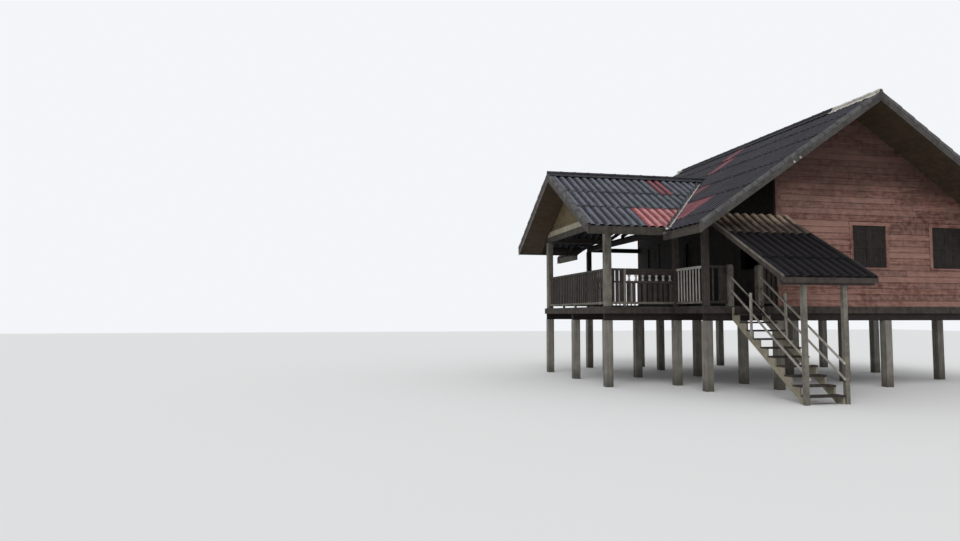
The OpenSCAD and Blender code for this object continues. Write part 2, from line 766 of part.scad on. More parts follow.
// Side of the porch: a plain bay of boards, then one with a row of spindles between boarding
module porch_side_railing(y) {
    a = -porch_post_x + porch_post_w / 2;
    b = -post_face_x;
    mid_x = a + (b - a) * 0.22;
    railing_x(y, a, mid_x - rail_t / 2, slat_w, slat_pitch * 0.8);
    block(mid_x - rail_t / 2, mid_x + rail_t / 2, y - rail_t / 2, y + rail_t / 2, deck_z, rail_top);
    row_top = rail_top - rail_t - row_board_h;
    row_z = row_top - spindle_h;
    block(mid_x, b, y - rail_t / 2, y + rail_t / 2, rail_top - rail_t, rail_top);
    block(mid_x, b, y - slat_t / 2, y + slat_t / 2, row_top + rail_t / 2, rail_top - rail_t);
    block(mid_x, b, y - rail_t / 2, y + rail_t / 2, row_top, row_top + rail_t / 2);
    block(mid_x, b, y - rail_t / 2, y + rail_t / 2, row_z - rail_t, row_z);
    block(mid_x, b, y - rail_t / 2, y + rail_t / 2, rail_low, rail_low + rail_t);
    span = b - mid_x - rail_t / 2;
    n = max(1, round(span / spindle_pitch));
    for (i = [0:n - 1])
        translate([mid_x + rail_t / 2 + (i + 0.5) * span / n, y, row_z]) spindle(spindle_h);
    boards = max(1, round(span / slat_pitch));
    for (i = [0:boards - 1]) {
        x = mid_x + rail_t / 2 + (i + 0.5) * span / boards;
        block(x - slat_w / 2, x + slat_w / 2, y - slat_t / 2, y + slat_t / 2,
              rail_low + rail_t, row_z - rail_t);
    }
}

module porch_side_railings() color(timber_grey) placed()
    for (s = [-1, 1])
        porch_side_railing(s * porch_post_y);

// Railings with pale balusters: two along the track side, one at the far end
module veranda_railings() color(timber_pale) placed() {
    out = body_y - post_w;
    in = porch_post_y + post_w / 2;
    railing_y(-body_half, -out, -in, baluster_w, slat_pitch);
    railing_y(-body_half, in, out, baluster_w, slat_pitch);
    railing_x(body_y - post_w / 2, -body_half + post_w / 2, -front_wall_x, baluster_w, slat_pitch);
}

newel_y = -body_y + newel_w / 2;
left_x = -stair_left_x;
right_x = -stair_left_x + stair_w;

// Boarded panel left of the stair and a short railing right of it
module stair_side_panel() color(timber_grey) placed() {
    a = -body_half + post_w / 2;
    b = left_x - newel_w / 2;
    y = newel_y;
    block(a, b, y - rail_t / 2, y + rail_t / 2, rail_top - rail_t, rail_top);
    block(a, b, y - rail_t / 2, y + rail_t / 2, rail_low, rail_low + rail_t);
    panel_x = a + (b - a) * 0.54;
    block(panel_x, b, y - slat_t / 2, y + slat_t / 2, rail_low + rail_t, rail_top - rail_t);
    slat_x = a + (b - a) * 0.24;
    block(slat_x - baluster_w / 2, slat_x + baluster_w / 2, y - slat_t / 2, y + slat_t / 2,
          rail_low + rail_t, rail_top - rail_t);
    railing_x(y, right_x + newel_w / 2, -front_wall_x, slat_w, slat_pitch);
}

module stair_newels() color(timber_pale) placed()
    for (x = [left_x, right_x]) {
        block(x - newel_w / 2, x + newel_w / 2, newel_y - newel_w / 2, newel_y + newel_w / 2,
              deck_z, deck_z + newel_h - newel_w / 2);
        intersection() {
            block(x - newel_w / 2, x + newel_w / 2, newel_y - newel_w / 2, newel_y + newel_w / 2,
                  deck_z + newel_h - newel_w / 2, deck_z + newel_h);
            translate([x, newel_y + newel_w / 2, deck_z + newel_h - newel_w / 2])
                rotate([90, 0, 0]) cylinder(h = newel_w, r = newel_w / 2);
        }
    }

riser = deck_z / risers;
stair_slope = riser / going;
// Room behind the first tread, which the stringers' ears fill
ear = going + nosing - tread_d - cut;

// Height of a line that runs h above the nosings, u out from the edge of the floor
function stair_line(h, u) = deck_z + h - stair_slope * u;

// Cut stringers: the treads sit on their steps, and an ear at the top meets the rim board
module stair_stringers() color(timber_pale) placed() {
    n = risers - 1;
    foot = (deck_z - stringer_drop) / stair_slope;
    steps = [for (i = [n:-1:1], k = [0, 1])
        [(k == 0 ? i : i - 1) * going + (k == 1 && i == 1 ? ear : 0), deck_z - i * riser - tread_t]];
    outline = concat([[0, stair_line(-stringer_drop, 0)], [foot, 0], [n * going, 0]], steps,
                     [[ear, deck_z - floor_t], [0, deck_z - floor_t]]);
    for (x = [left_x, right_x])
        along_x(x - stringer_t / 2, x + stringer_t / 2, [for (p = outline) [-deck_y - p[0], p[1]]]);
}

module stair_treads() color(timber_grey) placed()
    for (i = [1:risers - 1]) {
        front = -deck_y - i * going - nosing;
        z = deck_z - i * riser;
        block(left_x - stringer_t / 2, right_x + stringer_t / 2, front, front + tread_d,
              z - tread_t, z);
    }

// Two rails on each side, from newel to canopy post, with one post between
module stair_rails() color(white_paint) placed() {
    head_y = -body_y;
    foot_y = -body_y - canopy_post_out - canopy_post_w / 2;
    post_y = head_y + (foot_y - head_y) * 0.31;
    for (side = [-1, 1]) {
        face = (side < 0 ? left_x : right_x) + side * stringer_t / 2;
        x0 = min(face, face - side * stair_rail_t);
        for (h = [hand_h, knee_h])
            along_x(x0, x0 + stair_rail_t,
                    [for (p = [[head_y, 0], [foot_y, 0], [foot_y, stair_rail_h],
                               [head_y, stair_rail_h]])
                        [p[0], stair_line(h, -deck_y - p[0]) - p[1]]]);
        half = stair_rail_h / 2;
        block(min(face, face + side * stair_rail_h), max(face, face + side * stair_rail_h),
              post_y - half, post_y + half, stair_line(-stringer_drop / 2, -deck_y - post_y),
              stair_line(hand_h, -deck_y - post_y + half));
    }
}

canopy_d = canopy_tile + canopy_rafter;
canopy_end_y = -body_y - canopy_reach;
canopy_post_y = -body_y - canopy_post_out;

// The canopy is cut off where it would reach the soffit of the main roof
module under_soffit() difference() {
    children();
    main_layer(-main_half, 0, -main_rake_y, 0, -past, roof_d + soffit_t + cut);
}

module canopy_roof() color(tile_grey) placed() under_soffit()
    canopy_layer(-canopy_left_x, -canopy_right_x, canopy_end_y, -body_y, 0, canopy_tile);

// Rafters, the ledger on the wall, the beam on the posts, and boards round the edge
module canopy_frame() color(timber_pale) placed() under_soffit() {
    left = -canopy_left_x - board_t;
    right = -canopy_right_x + board_t;
    inner = board_t + joist_w / 2;
    for (x = spread(left + inner, right - inner, rafter_pitch * 3 / 4))
        canopy_layer(x - joist_w / 2, x + joist_w / 2, canopy_end_y, -body_y, canopy_tile, canopy_d);
    for (y = [-body_y - joist_w, canopy_post_y - canopy_post_w / 2]) {
        deep = y > canopy_post_y ? joist_w : canopy_post_w;
        low = canopy_z_at(y) - canopy_d - beam_w;
        along_x(left, right, [[y, low], [y + deep, low], [y + deep, canopy_z_at(y + deep) - canopy_tile],
                              [y, canopy_z_at(y) - canopy_tile]]);
    }
    for (x = [left, right - board_t])
        canopy_layer(x, x + board_t, canopy_end_y, -body_y, 0, canopy_d);
    canopy_layer(left, right, canopy_end_y, canopy_end_y + board_t, canopy_tile, canopy_d);
}

canopy_beam_z = canopy_z_at(canopy_post_y - canopy_post_w / 2) - canopy_d - beam_w;

// The posts also carry the foot of the stair rails
module canopy_posts() color(timber_pale) placed() {
    left = left_x - stringer_t / 2 - canopy_post_w / 2;
    right = right_x + stringer_t / 2 + canopy_post_w / 2;
    for (x = [left, right])
        block(x - canopy_post_w / 2, x + canopy_post_w / 2, canopy_post_y - canopy_post_w / 2,
              canopy_post_y + canopy_post_w / 2, 0, canopy_beam_z);
}

stub_posts();
girders();
floor_joists();
rim_boards();
room_floor();
veranda_floor();
porch_floor();
front_wall();
back_wall();
near_gable_wall();
far_gable_wall();
front_door();
window_shutters();
veranda_posts();
porch_posts();
veranda_beams();
porch_beams();
gable_sill();
gable_boards();
main_rafters();
main_purlins();
porch_rafters();
porch_purlins();
main_roof_front();
main_roof_back();
porch_roof_near();
porch_roof_far();
main_ridge_cap();
porch_ridge_cap();
verge_caps();
valley_gutters();
barge_boards();
eave_fascias();
gable_soffits();
porch_front_railing();
porch_side_railings();
veranda_railings();
stair_side_panel();
stair_stringers();
stair_treads();
stair_newels();
stair_rails();
canopy_roof();
canopy_frame();
canopy_posts();
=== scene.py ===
import math
import random

import bmesh
import bpy
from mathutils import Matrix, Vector


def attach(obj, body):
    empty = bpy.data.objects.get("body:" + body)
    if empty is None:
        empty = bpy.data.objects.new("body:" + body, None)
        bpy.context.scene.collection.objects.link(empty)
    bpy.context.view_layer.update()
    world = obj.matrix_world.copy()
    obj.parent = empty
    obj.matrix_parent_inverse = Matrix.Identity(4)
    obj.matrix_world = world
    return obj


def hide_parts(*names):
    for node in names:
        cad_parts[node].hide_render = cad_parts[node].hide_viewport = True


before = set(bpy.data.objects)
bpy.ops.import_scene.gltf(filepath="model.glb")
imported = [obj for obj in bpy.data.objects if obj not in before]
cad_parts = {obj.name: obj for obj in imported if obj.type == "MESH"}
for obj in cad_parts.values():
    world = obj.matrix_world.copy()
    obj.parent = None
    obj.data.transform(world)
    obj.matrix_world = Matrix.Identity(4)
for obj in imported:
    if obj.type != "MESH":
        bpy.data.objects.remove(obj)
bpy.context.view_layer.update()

# Every length is in metres. Plan places are measured from the main ridge (x), the middle of
# the porch (y) and the ground (z), as in the part's source, and PLAN_ORIGIN moves them home.
PLAN_ORIGIN = Vector((1.019, 0.911, 0.0))
# Every chance shift of a board or tile is drawn from here, in the order of the builders at the end
draw = random.Random(11)

# Camera fitted to the photo: its place, its lens, and its turn up and to the side in degrees
EYE, LENS, LOOK_UP, LOOK_ROUND = Vector((-13.33, -19.75, 1.87)), 26.25, 3.64, -12.15
# Main roof and porch roof, at the tops of the tiles, with their layers measured upright
MAIN_HALF, MAIN_EAVE, MAIN_RISE, MAIN_RAKE = 4.980, 4.033, 3.407, 5.170
PORCH_HALF, PORCH_EAVE, PORCH_RISE, PORCH_RAKE = 3.250, 4.170, 1.920, 7.030
RAFTER_TOP, RAFTER_FOOT, SOFFIT = 0.120, 0.250, 0.012
# Edge boards: thickness, depth, and depth of the upper one of the two
BOARD, BARGE, BARGE_UPPER = 0.030, 0.250, 0.185
# Gap between the tiles and a valley, and how far the soffits keep back from the eave
VALLEY_GAP, EAVE_BACK = 0.090, 0.060
# Floor, walls and openings
FLOOR, FLOOR_BOARD, FLOOR_BOARD_W, FLOOR_JOINT = 2.090, 0.030, 0.145, 0.003
FLOOR_END, FLOOR_BACK, FLOOR_FRONT = 4.100, 4.260, 4.335
PORCH_FLOOR_FRONT, PORCH_FLOOR_SIDE = 6.315, 2.590
BODY_HALF, BODY_END, ROOM_FRONT, WALL = 4.210, 4.050, 2.240, 0.100
WINDOW_FOOT, WINDOW_HEAD, WINDOW_W = 3.105, 4.205, 1.000
DOOR_W, DOOR_HEAD = 1.100, 4.140
FRONT_WINDOW_Y, FRONT_WINDOW_W = 2.875, 0.750
BACK_WINDOWS, GABLE_WINDOWS = (-2.6333, 0.0, 2.6333), (0.469, 2.920)
# Leaves: thickness, gap between two, width of the stiles and of the rails, width of the boards
LEAF, LEAF_GAP, STILE, LEAF_RAIL, LEAF_BOARD = 0.035, 0.002, 0.075, 0.0975, 0.095
# Wall boards: how far foot and head stand out, and how much of each shows
FOOT_OUT, HEAD_OUT, SHOW = 0.028, 0.004, 0.160
# Casings, sills and corner boards: width or height, and how far they stand out
CASING_W, CASING_OUT, CASING_OVER = 0.090, 0.034, 0.015
SILL, SILL_OUT, CORNER_W, CORNER_OUT = 0.045, 0.055, 0.110, 0.032
# Porch frame and gable
PORCH_POST_X, PORCH_POST_Y, PORCH_POST_W = 6.175, 2.450, 0.180
GABLE_FACE, GABLE_SHOW, TIE_TOP = 6.245, 0.150, 4.422
# Railings, with boards let into the rails by LET_IN. In the porch's side ones a board hangs from the
# top rail down to BOARD_FOOT, over a row of spindles
RAIL_TOP, RAIL_LOW, RAIL, LET_IN = 3.105, 2.160, 0.060, 0.004
SLAT, SLAT_W, SLAT_PITCH, BALUSTER_W, SPINDLE_PITCH = 0.022, 0.100, 0.150, 0.045, 0.190
BOARD_FOOT, ROW_TOP, ROW_FOOT, POST_W = 2.965, 2.935, 2.775, 0.150
# Stair: its sides, newels, fall by run, and the middle posts of its rails
STAIR_LEFT, STAIR_RIGHT, NEWEL_W, NEWEL_Y = 3.557, 2.730, 0.150, 3.975
STAIR_FALL, HAND_RAIL, STRINGER_HALF, MID_POST_W, MID_POST_Y = 0.6884, 0.715, 0.0225, 0.050, 4.9335
# Canopy over the stair. Its head bends up by CANOPY_BEND over the last CANOPY_BEND_Y
CANOPY_LEFT, CANOPY_RIGHT, CANOPY_TOP, CANOPY_REACH = 4.170, 1.950, 4.3596, 2.960
CANOPY_FALL, CANOPY_BEND, CANOPY_BEND_Y = 1.660 / CANOPY_REACH, 0.090, 0.900
# Wave of the double-roll tiles: spacing and height of the rolls, sheet thickness, lift at a lap
ROLL, ROLL_H, SHEET, LAP_LIFT = 0.232, 0.046, 0.007, 0.016
# Ends of the tile courses, along the slope from the eave, and what is cut off the first tile
MAIN_COURSES, MAIN_CUT = (0.0, 0.62, 1.76, 2.90, 4.05, 5.04, 6.034), 0.080
PORCH_COURSES, PORCH_CUT = (0.0, 1.27, 2.40, 3.775), 0.206
CANOPY_COURSES = (0.0, 0.95, 2.37, 3.394)
# Newer red tiles of the main roof: (place along the ridge, number of the course)
RED_ON_MAIN = ((0.20, 4), (0.75, 5), (-1.27, 2), (-3.13, 1), (-2.67, 1), (-2.20, 1))
# Red tiles of the near porch slope: bright ones between two places, and faded ones from a place on
PORCH_RED, PORCH_RED_OLD = (-3.95, -3.40), -5.35
# Caps: length of a ridge cap and of a verge cap, and their overlaps
RIDGE_UNIT, RIDGE_LAP, VERGE_UNIT, VERGE_LAP = 0.42, 0.03, 0.43, 0.04


def main_z(x):
    return MAIN_EAVE + MAIN_RISE * (1 - abs(x) / MAIN_HALF)


def porch_z(y):
    return PORCH_EAVE + PORCH_RISE * (1 - abs(y) / PORCH_HALF)


def valley_x(y):
    return MAIN_HALF * ((porch_z(y) - MAIN_EAVE) / MAIN_RISE - 1)


def main_up(side):
    return Vector((-side * MAIN_HALF, 0, MAIN_RISE)).normalized()


def porch_up(side):
    return Vector((0, -side * PORCH_HALF, PORCH_RISE)).normalized()


VALLEY_LEAN = (valley_x(0) - valley_x(PORCH_HALF)) / PORCH_HALF


def shares(a, b, size, least=1):
    """Equal parts of the stretch from a to b, each about this size: their starts and ends."""
    count = max(least, round((b - a) / size))
    step = (b - a) / count
    return [(a + i * step, a + (i + 1) * step) for i in range(count)]


def put(name, data):
    """A new object in the scene."""
    thing = bpy.data.objects.new(name, data)
    bpy.context.scene.collection.objects.link(thing)
    return thing


# Camera and light
def look():
    cam = bpy.data.cameras.new("camera")
    cam.lens, cam.sensor_width, cam.clip_end = LENS, 36.0, 400
    eye = put("camera", cam)
    eye.location = EYE + PLAN_ORIGIN
    eye.rotation_euler = (math.radians(90 + LOOK_UP), 0, math.radians(LOOK_ROUND))
    bpy.context.scene.camera = eye


def light():
    """An even overcast sky with a little more light from above, and white behind the object."""
    scene = bpy.context.scene
    scene.view_settings.view_transform = "Standard"
    world = bpy.data.worlds.new("studio")
    world.use_nodes = True
    scene.world = world
    nodes, links = world.node_tree.nodes, world.node_tree.links
    nodes.clear()
    out, mix = nodes.new("ShaderNodeOutputWorld"), nodes.new("ShaderNodeMixShader")
    links.new(nodes.new("ShaderNodeLightPath").outputs["Is Camera Ray"], mix.inputs[0])
    for slot, colour, strength in ((1, (0.98, 0.99, 1.0, 1), 0.72), (2, (0.90, 0.92, 0.95, 1), 1.0)):
        sky = nodes.new("ShaderNodeBackground")
        sky.inputs["Color"].default_value = colour
        sky.inputs["Strength"].default_value = strength
        links.new(sky.outputs[0], mix.inputs[slot])
    links.new(mix.outputs[0], out.inputs[0])
    sun = bpy.data.lights.new("high_soft_light", "SUN")
    sun.energy, sun.angle = 0.9, math.radians(40)
    put("high_soft_light", sun).rotation_euler = (math.radians(35), math.radians(-25), 0)


look()
light()


# Mesh making
class Form:
    """A mesh in plan metres. Each board keeps its own grain: u runs along it, v across."""

    def __init__(self):
        self.bm = bmesh.new()
        self.grain = self.bm.loops.layers.uv.new("grain")
        self.roll = self.bm.verts.layers.float.new("roll")

    def shift(self):
        return draw.uniform(0, 40), draw.uniform(0, 40)

    def face(self, verts, marks, slot=0, smooth=False):
        made = self.bm.faces.new(verts)
        made.material_index, made.smooth = slot, smooth
        for loop, mark in zip(made.loops, marks):
            loop[self.grain].uv = mark

    def bar(self, start, along, wide, deep, slot=0):
        """A straight bar from one corner, given by its three edges.

        slot is one finish, or three: of the ends, of the faces at both ends of wide, and of deep."""
        start, along, wide, deep = (Vector(v) for v in (start, along, wide, deep))
        if along.cross(wide).dot(deep) < 0:
            wide, deep = deep, wide
        verts = [self.bm.verts.new(start + a * along + w * wide + d * deep)
                 for a in (0, 1) for w in (0, 1) for d in (0, 1)]
        u0, v0 = self.shift()
        reach, w_len, d_len = along.length, wide.length, deep.length
        marks = [(u0 + a * reach, v0 + w * w_len + d * d_len) for a in (0, 1) for w in (0, 1) for d in (0, 1)]
        slots = (slot,) * 3 if isinstance(slot, int) else slot
        quads = ((0, 1, 3, 2), (4, 6, 7, 5), (0, 4, 5, 1), (2, 3, 7, 6), (0, 2, 6, 4), (1, 5, 7, 3))
        for k, quad in enumerate(quads):
            self.face([verts[i] for i in quad], [marks[i] for i in quad], slots[k // 2])

    def box(self, x0, x1, y0, y1, z0, z1, grain="x", slot=0):
        """An upright box with its grain along one axis."""
        edges = {"x": (x1 - x0, 0, 0), "y": (0, y1 - y0, 0), "z": (0, 0, z1 - z0)}
        order = {"x": "xyz", "y": "yxz", "z": "zxy"}[grain]
        self.bar((x0, y0, z0), *(edges[k] for k in order), slot=slot)

    def prism(self, outline, along):
        """A closed outline of points run along a vector."""
        outline, along = [Vector(p) for p in outline], Vector(along)
        low = [self.bm.verts.new(p) for p in outline]
        top = [self.bm.verts.new(p + along) for p in outline]
        u0, v = self.shift()
        u1, n = u0 + along.length, len(outline)
        for i in range(n):
            k = (i + 1) % n
            v1 = v + (outline[k] - outline[i]).length
            self.face([low[i], low[k], top[k], top[i]], [(u0, v), (u0, v1), (u1, v1), (u1, v)])
            v = v1
        for ring in (low[::-1], top):
            self.face(ring, [(u0, v)] * n)

    def turned(self, foot, outline, sides=14, slot=0, axis=(0, 0, 1), ref=(1, 0, 0)):
        """A turned piece: outline is (radius, height) from the foot up its axis."""
        foot, axis, ref = Vector(foot), Vector(axis), Vector(ref)
        other, turns = axis.cross(ref), [2 * math.pi * k / sides for k in range(sides)]
        rings = []
        for radius, high in outline:
            rim = [(ref * math.cos(t) + other * math.sin(t)) * radius for t in turns]
            rings.append([self.bm.verts.new(foot + axis * high + spoke) for spoke in rim])
        u0, v0 = self.shift()
        for low, top, (_, a), (_, b) in zip(rings, rings[1:], outline, outline[1:]):
            for k in range(sides):
                m = (k + 1) % sides
                v, v1 = v0 + k * 0.01, v0 + m * 0.01
                self.face([low[k], low[m], top[m], top[k]],
                          [(u0 + a, v), (u0 + a, v1), (u0 + b, v1), (u0 + b, v)], slot, True)
        for ring in (rings[0][::-1], rings[-1]):
            self.face(ring, [(u0, v0)] * sides, slot)

    def sheet(self, rows, thick, slot=0, rolls=None):
        """A thin shell over a grid of points, thick along the given vector below them."""
        thick = Vector(thick)
        rows = [[Vector(p) for p in row] for row in rows]
        top = [[self.bm.verts.new(p) for p in row] for row in rows]
        low = [[self.bm.verts.new(p - thick) for p in row] for row in rows]
        if rolls:
            for row, marks in zip(top, rolls):
                for vert, mark in zip(row, marks):
                    vert[self.roll] = mark
        u0, v0 = self.shift()

        def marks(ring):
            return [(u0 + (rows[i][j] - rows[0][j]).length, v0 + (rows[i][j] - rows[i][0]).length)
                    for i, j in ring]

        n, m = len(rows), len(rows[0])
        for i in range(n - 1):
            for j in range(m - 1):
                ring = [(i, j), (i + 1, j), (i + 1, j + 1), (i, j + 1)]
                self.face([top[a][b] for a, b in ring], marks(ring), slot, True)
                self.face([low[a][b] for a, b in ring[::-1]], marks(ring[::-1]), slot, True)
        rim = ([(i, 0) for i in range(n)] + [(n - 1, j) for j in range(1, m)]
               + [(i, m - 1) for i in range(n - 2, -1, -1)] + [(0, j) for j in range(m - 2, 0, -1)])
        for a, b in zip(rim, rim[1:] + rim[:1]):
            self.face([top[b[0]][b[1]], top[a[0]][a[1]], low[a[0]][a[1]], low[b[0]][b[1]]],
                      marks([b, a, a, b]), slot)

    def take(self, node):
        """Copies a CAD node's solids, with the grain of each face along its longest edge."""
        bm = bmesh.new()
        bm.from_mesh(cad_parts[node].data)
        bmesh.ops.remove_doubles(bm, verts=bm.verts, dist=1e-5)
        bmesh.ops.dissolve_limit(bm, angle_limit=math.radians(1), verts=bm.verts, edges=bm.edges)
        bmesh.ops.translate(bm, verts=bm.verts, vec=-PLAN_ORIGIN)
        offset = {}
        for vert in sorted(bm.verts, key=lambda v: v.index):
            if vert in offset:
                continue
            home, queue = self.shift(), [vert]
            while queue:
                spot = queue.pop()
                if spot not in offset:
                    offset[spot] = home
                    queue += [e.other_vert(spot) for e in spot.link_edges]
        made = {vert: self.bm.verts.new(vert.co) for vert in bm.verts}
        for face in bm.faces:
            edge = max(face.edges, key=lambda e: round(e.calc_length(), 4))
            along = (edge.verts[1].co - edge.verts[0].co).normalized()
            across = face.normal.cross(along)
            u0, v0 = offset[face.verts[0]]
            self.face([made[v] for v in face.verts],
                      [(u0 + v.co.dot(along), v0 + v.co.dot(across)) for v in face.verts])
        bm.free()

    def cut(self, point, normal):
        """Cuts away what lies on the normal's side of a plane and closes the cut."""
        bm = self.bm
        found = bmesh.ops.bisect_plane(bm, geom=bm.verts[:] + bm.edges[:] + bm.faces[:], dist=1e-6,
                                       plane_co=Vector(point), plane_no=Vector(normal), clear_outer=True)
        edges = [e for e in found["geom_cut"] if isinstance(e, bmesh.types.BMEdge) and e.is_boundary]
        if edges:
            bmesh.ops.holes_fill(bm, edges=edges, sides=0)

    def under_main(self, depth):
        """Cuts away what reaches over a layer of the main roof."""
        for side in (-1, 1):
            self.cut((0, 0, main_z(0) - depth), (side * MAIN_RISE, 0, MAIN_HALF))

    def under_porch(self, depth):
        for side in (-1, 1):
            self.cut((0, 0, porch_z(0) - depth), (0, side * PORCH_RISE, PORCH_HALF))

    def piece(self, name, finishes, replaces, record_slot, bevel=0.0):
        bm = self.bm
        bmesh.ops.translate(bm, verts=bm.verts, vec=PLAN_ORIGIN)
        bmesh.ops.recalc_face_normals(bm, faces=bm.faces)
        mesh = bpy.data.meshes.new(name)
        bm.to_mesh(mesh)
        bm.free()
        for finish in finishes:
            mesh.materials.append(finish)
        thing = put(name, mesh)
        if bevel:
            soften(thing, bevel)
        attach(thing, "root")
        if replaces:
            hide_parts(*replaces)


def soften(thing, width):
    """Takes the sharpness off sawn edges."""
    bevel = thing.modifiers.new("soft_edges", "BEVEL")
    bevel.width, bevel.segments = width, 1
    bevel.limit_method, bevel.angle_limit = "ANGLE", math.radians(40)


class Wall:
    """One outer wall face. Its places are (level along the wall, height, distance out of it)."""

    def __init__(self, axis, face, out):
        self.axis, self.face, self.out = axis, face, out

    def at(self, level, high, proud):
        away = self.face + self.out * proud
        return Vector((level, away, high)) if self.axis == "x" else Vector((away, level, high))

    def block(self, form, a, b, z0, z1, p0, p1, upright=False):
        """A board between two levels, two heights and two distances out."""
        start = self.at(a, z0, p0)
        level, up, out = self.at(b, z0, p0) - start, self.at(a, z1, p0) - start, self.at(a, z0, p1) - start
        form.bar(start, *((up, level, out) if upright else (level, up, out)))


# Finishes
FLOAT, VECTOR = "NodeSocketFloat", "NodeSocketVector"


def group(name, inputs, outputs):
    """A shader node group with named inputs (name, kind, default) and outputs (name, kind)."""
    tree = bpy.data.node_groups.new(name, "ShaderNodeTree")
    for label, kind, value in inputs:
        made = tree.interface.new_socket(label, in_out="INPUT", socket_type=kind)
        if value is not None:
            made.default_value = value
    for label, kind in outputs:
        tree.interface.new_socket(label, in_out="OUTPUT", socket_type=kind)
    given, result = tree.nodes.new("NodeGroupInput"), tree.nodes.new("NodeGroupOutput")
    return tree, given.outputs, result.inputs, Wiring(tree)


class Wiring:
    """Short names for the nodes that a tree is made of."""

    def __init__(self, tree):
        self.tree = tree

    def add(self, kind, **settings):
        node = self.tree.nodes.new("ShaderNode" + kind)
        for key, value in settings.items():
            setattr(node, key, value)
        return node

    def feed(self, socket, value):
        if isinstance(value, bpy.types.NodeSocket):
            self.tree.links.new(value, socket)
        else:
            socket.default_value = value

    def place(self):
        return self.add("TexCoord").outputs["Object"]

    def island(self):
        """A number of its own for each board or tile."""
        return self.add("NewGeometry").outputs["Random Per Island"]

    def part(self, vector, axis):
        node = self.add("SeparateXYZ")
        self.feed(node.inputs[0], vector)
        return node.outputs[axis]

    def math(self, operation, a, b, clamp=False):
        node = self.add("Math", operation=operation, use_clamp=clamp)
        self.feed(node.inputs[0], a)
        self.feed(node.inputs[1], b)
        return node.outputs[0]

    def times(self, a, b):
        return self.math("MULTIPLY", a, b)

    def ramp(self, value, low, high, to_low=0.0, to_high=1.0):
        node = self.add("MapRange", clamp=True, interpolation_type="SMOOTHSTEP")
        for label, v in (("Value", value), ("From Min", low), ("From Max", high),
                         ("To Min", to_low), ("To Max", to_high)):
            self.feed(node.inputs[label], v)
        return node.outputs["Result"]

    def noise(self, vector, scale, detail=3.0, rough=0.55):
        node = self.add("TexNoise")
        for label, v in (("Vector", vector), ("Scale", scale), ("Detail", detail), ("Roughness", rough)):
            self.feed(node.inputs[label], v)
        return node.outputs["Fac"]

    def stretch(self, vector, by):
        node = self.add("VectorMath", operation="MULTIPLY")
        self.feed(node.inputs[0], vector)
        self.feed(node.inputs[1], by)
        return node.outputs[0]

    def mix(self, amount, a, b):
        node = self.add("Mix", data_type="RGBA", blend_type="MIX")
        self.feed(node.inputs["Factor"], amount)
        self.feed(node.inputs[6], a)
        self.feed(node.inputs[7], b)
        return node.outputs[2]

    def placed(self, tree, **values):
        """Places a shared node group with its own values."""
        node = self.add("Group", node_tree=tree)
        for label, value in values.items():
            self.feed(node.inputs[label], value)
        return node.outputs

    def bump(self, shader, height, strength, distance):
        node = self.add("Bump")
        for label, v in (("Strength", strength), ("Distance", distance), ("Height", height)):
            self.feed(node.inputs[label], v)
        self.feed(shader["Normal"], node.outputs["Normal"])


def sawn_grain_group():
    """Lengthwise fibres and cracks. The grain runs along the vector's first axis."""
    tree, given, result, w = group("sawn_grain", [("Vector", VECTOR, None), ("Fineness", FLOAT, 1.0)],
                                   [("Fibre", FLOAT), ("Crack", FLOAT)])
    fine = w.stretch(given["Vector"], (1.0, 22.0, 22.0))
    w.feed(result["Fibre"], w.noise(fine, w.times(given["Fineness"], 5.0), 5.0, 0.62))
    long = w.stretch(given["Vector"], (0.8, 60.0, 60.0))
    w.feed(result["Crack"], w.ramp(w.noise(long, 2.2, 4.0, 0.7), 0.63, 0.72))
    return tree


def weather_group():
    """Rain streaks down the face, blotches of dirt, and specks of lichen."""
    tree, given, result, w = group("weather", [("Size", FLOAT, 1.0)],
                                   [("Streak", FLOAT), ("Blotch", FLOAT), ("Speck", FLOAT)])
    place, size = w.place(), given["Size"]
    down = w.stretch(place, (9.0, 9.0, 0.55))
    w.feed(result["Streak"], w.ramp(w.noise(down, size, 4.0, 0.6), 0.42, 0.68))
    w.feed(result["Blotch"], w.ramp(w.noise(place, w.times(size, 1.7), 5.0, 0.6), 0.38, 0.66))
    w.feed(result["Speck"], w.ramp(w.noise(place, w.times(size, 34.0), 2.0, 0.6), 0.55, 0.70))
    return tree


def edge_wear_group():
    """Bare edges, where paint and dirt have gone."""
    tree, given, result, w = group("edge_wear", [("Amount", FLOAT, 0.5)], [("Wear", FLOAT)])
    edge = w.ramp(w.add("NewGeometry").outputs["Pointiness"], 0.50, 0.60)
    broken = w.ramp(w.noise(w.place(), 6.0, 4.0, 0.7), 0.40, 0.62)
    w.feed(result["Wear"], w.math("MULTIPLY", w.times(edge, broken), given["Amount"], clamp=True))
    return tree


GRAIN, WEATHER, EDGES = sawn_grain_group(), weather_group(), edge_wear_group()


def material(name):
    made = bpy.data.materials.new(name)
    made.use_nodes = True
    return made, Wiring(made.node_tree), made.node_tree.nodes["Principled BSDF"].inputs


def rgb(colour):
    """A colour written in the picture's own steps from 0 to 255."""
    def linear(c):
        c /= 255
        return c / 12.92 if c <= 0.04045 else ((c + 0.055) / 1.055) ** 2.4
    return (*(linear(c) for c in colour), 1.0)


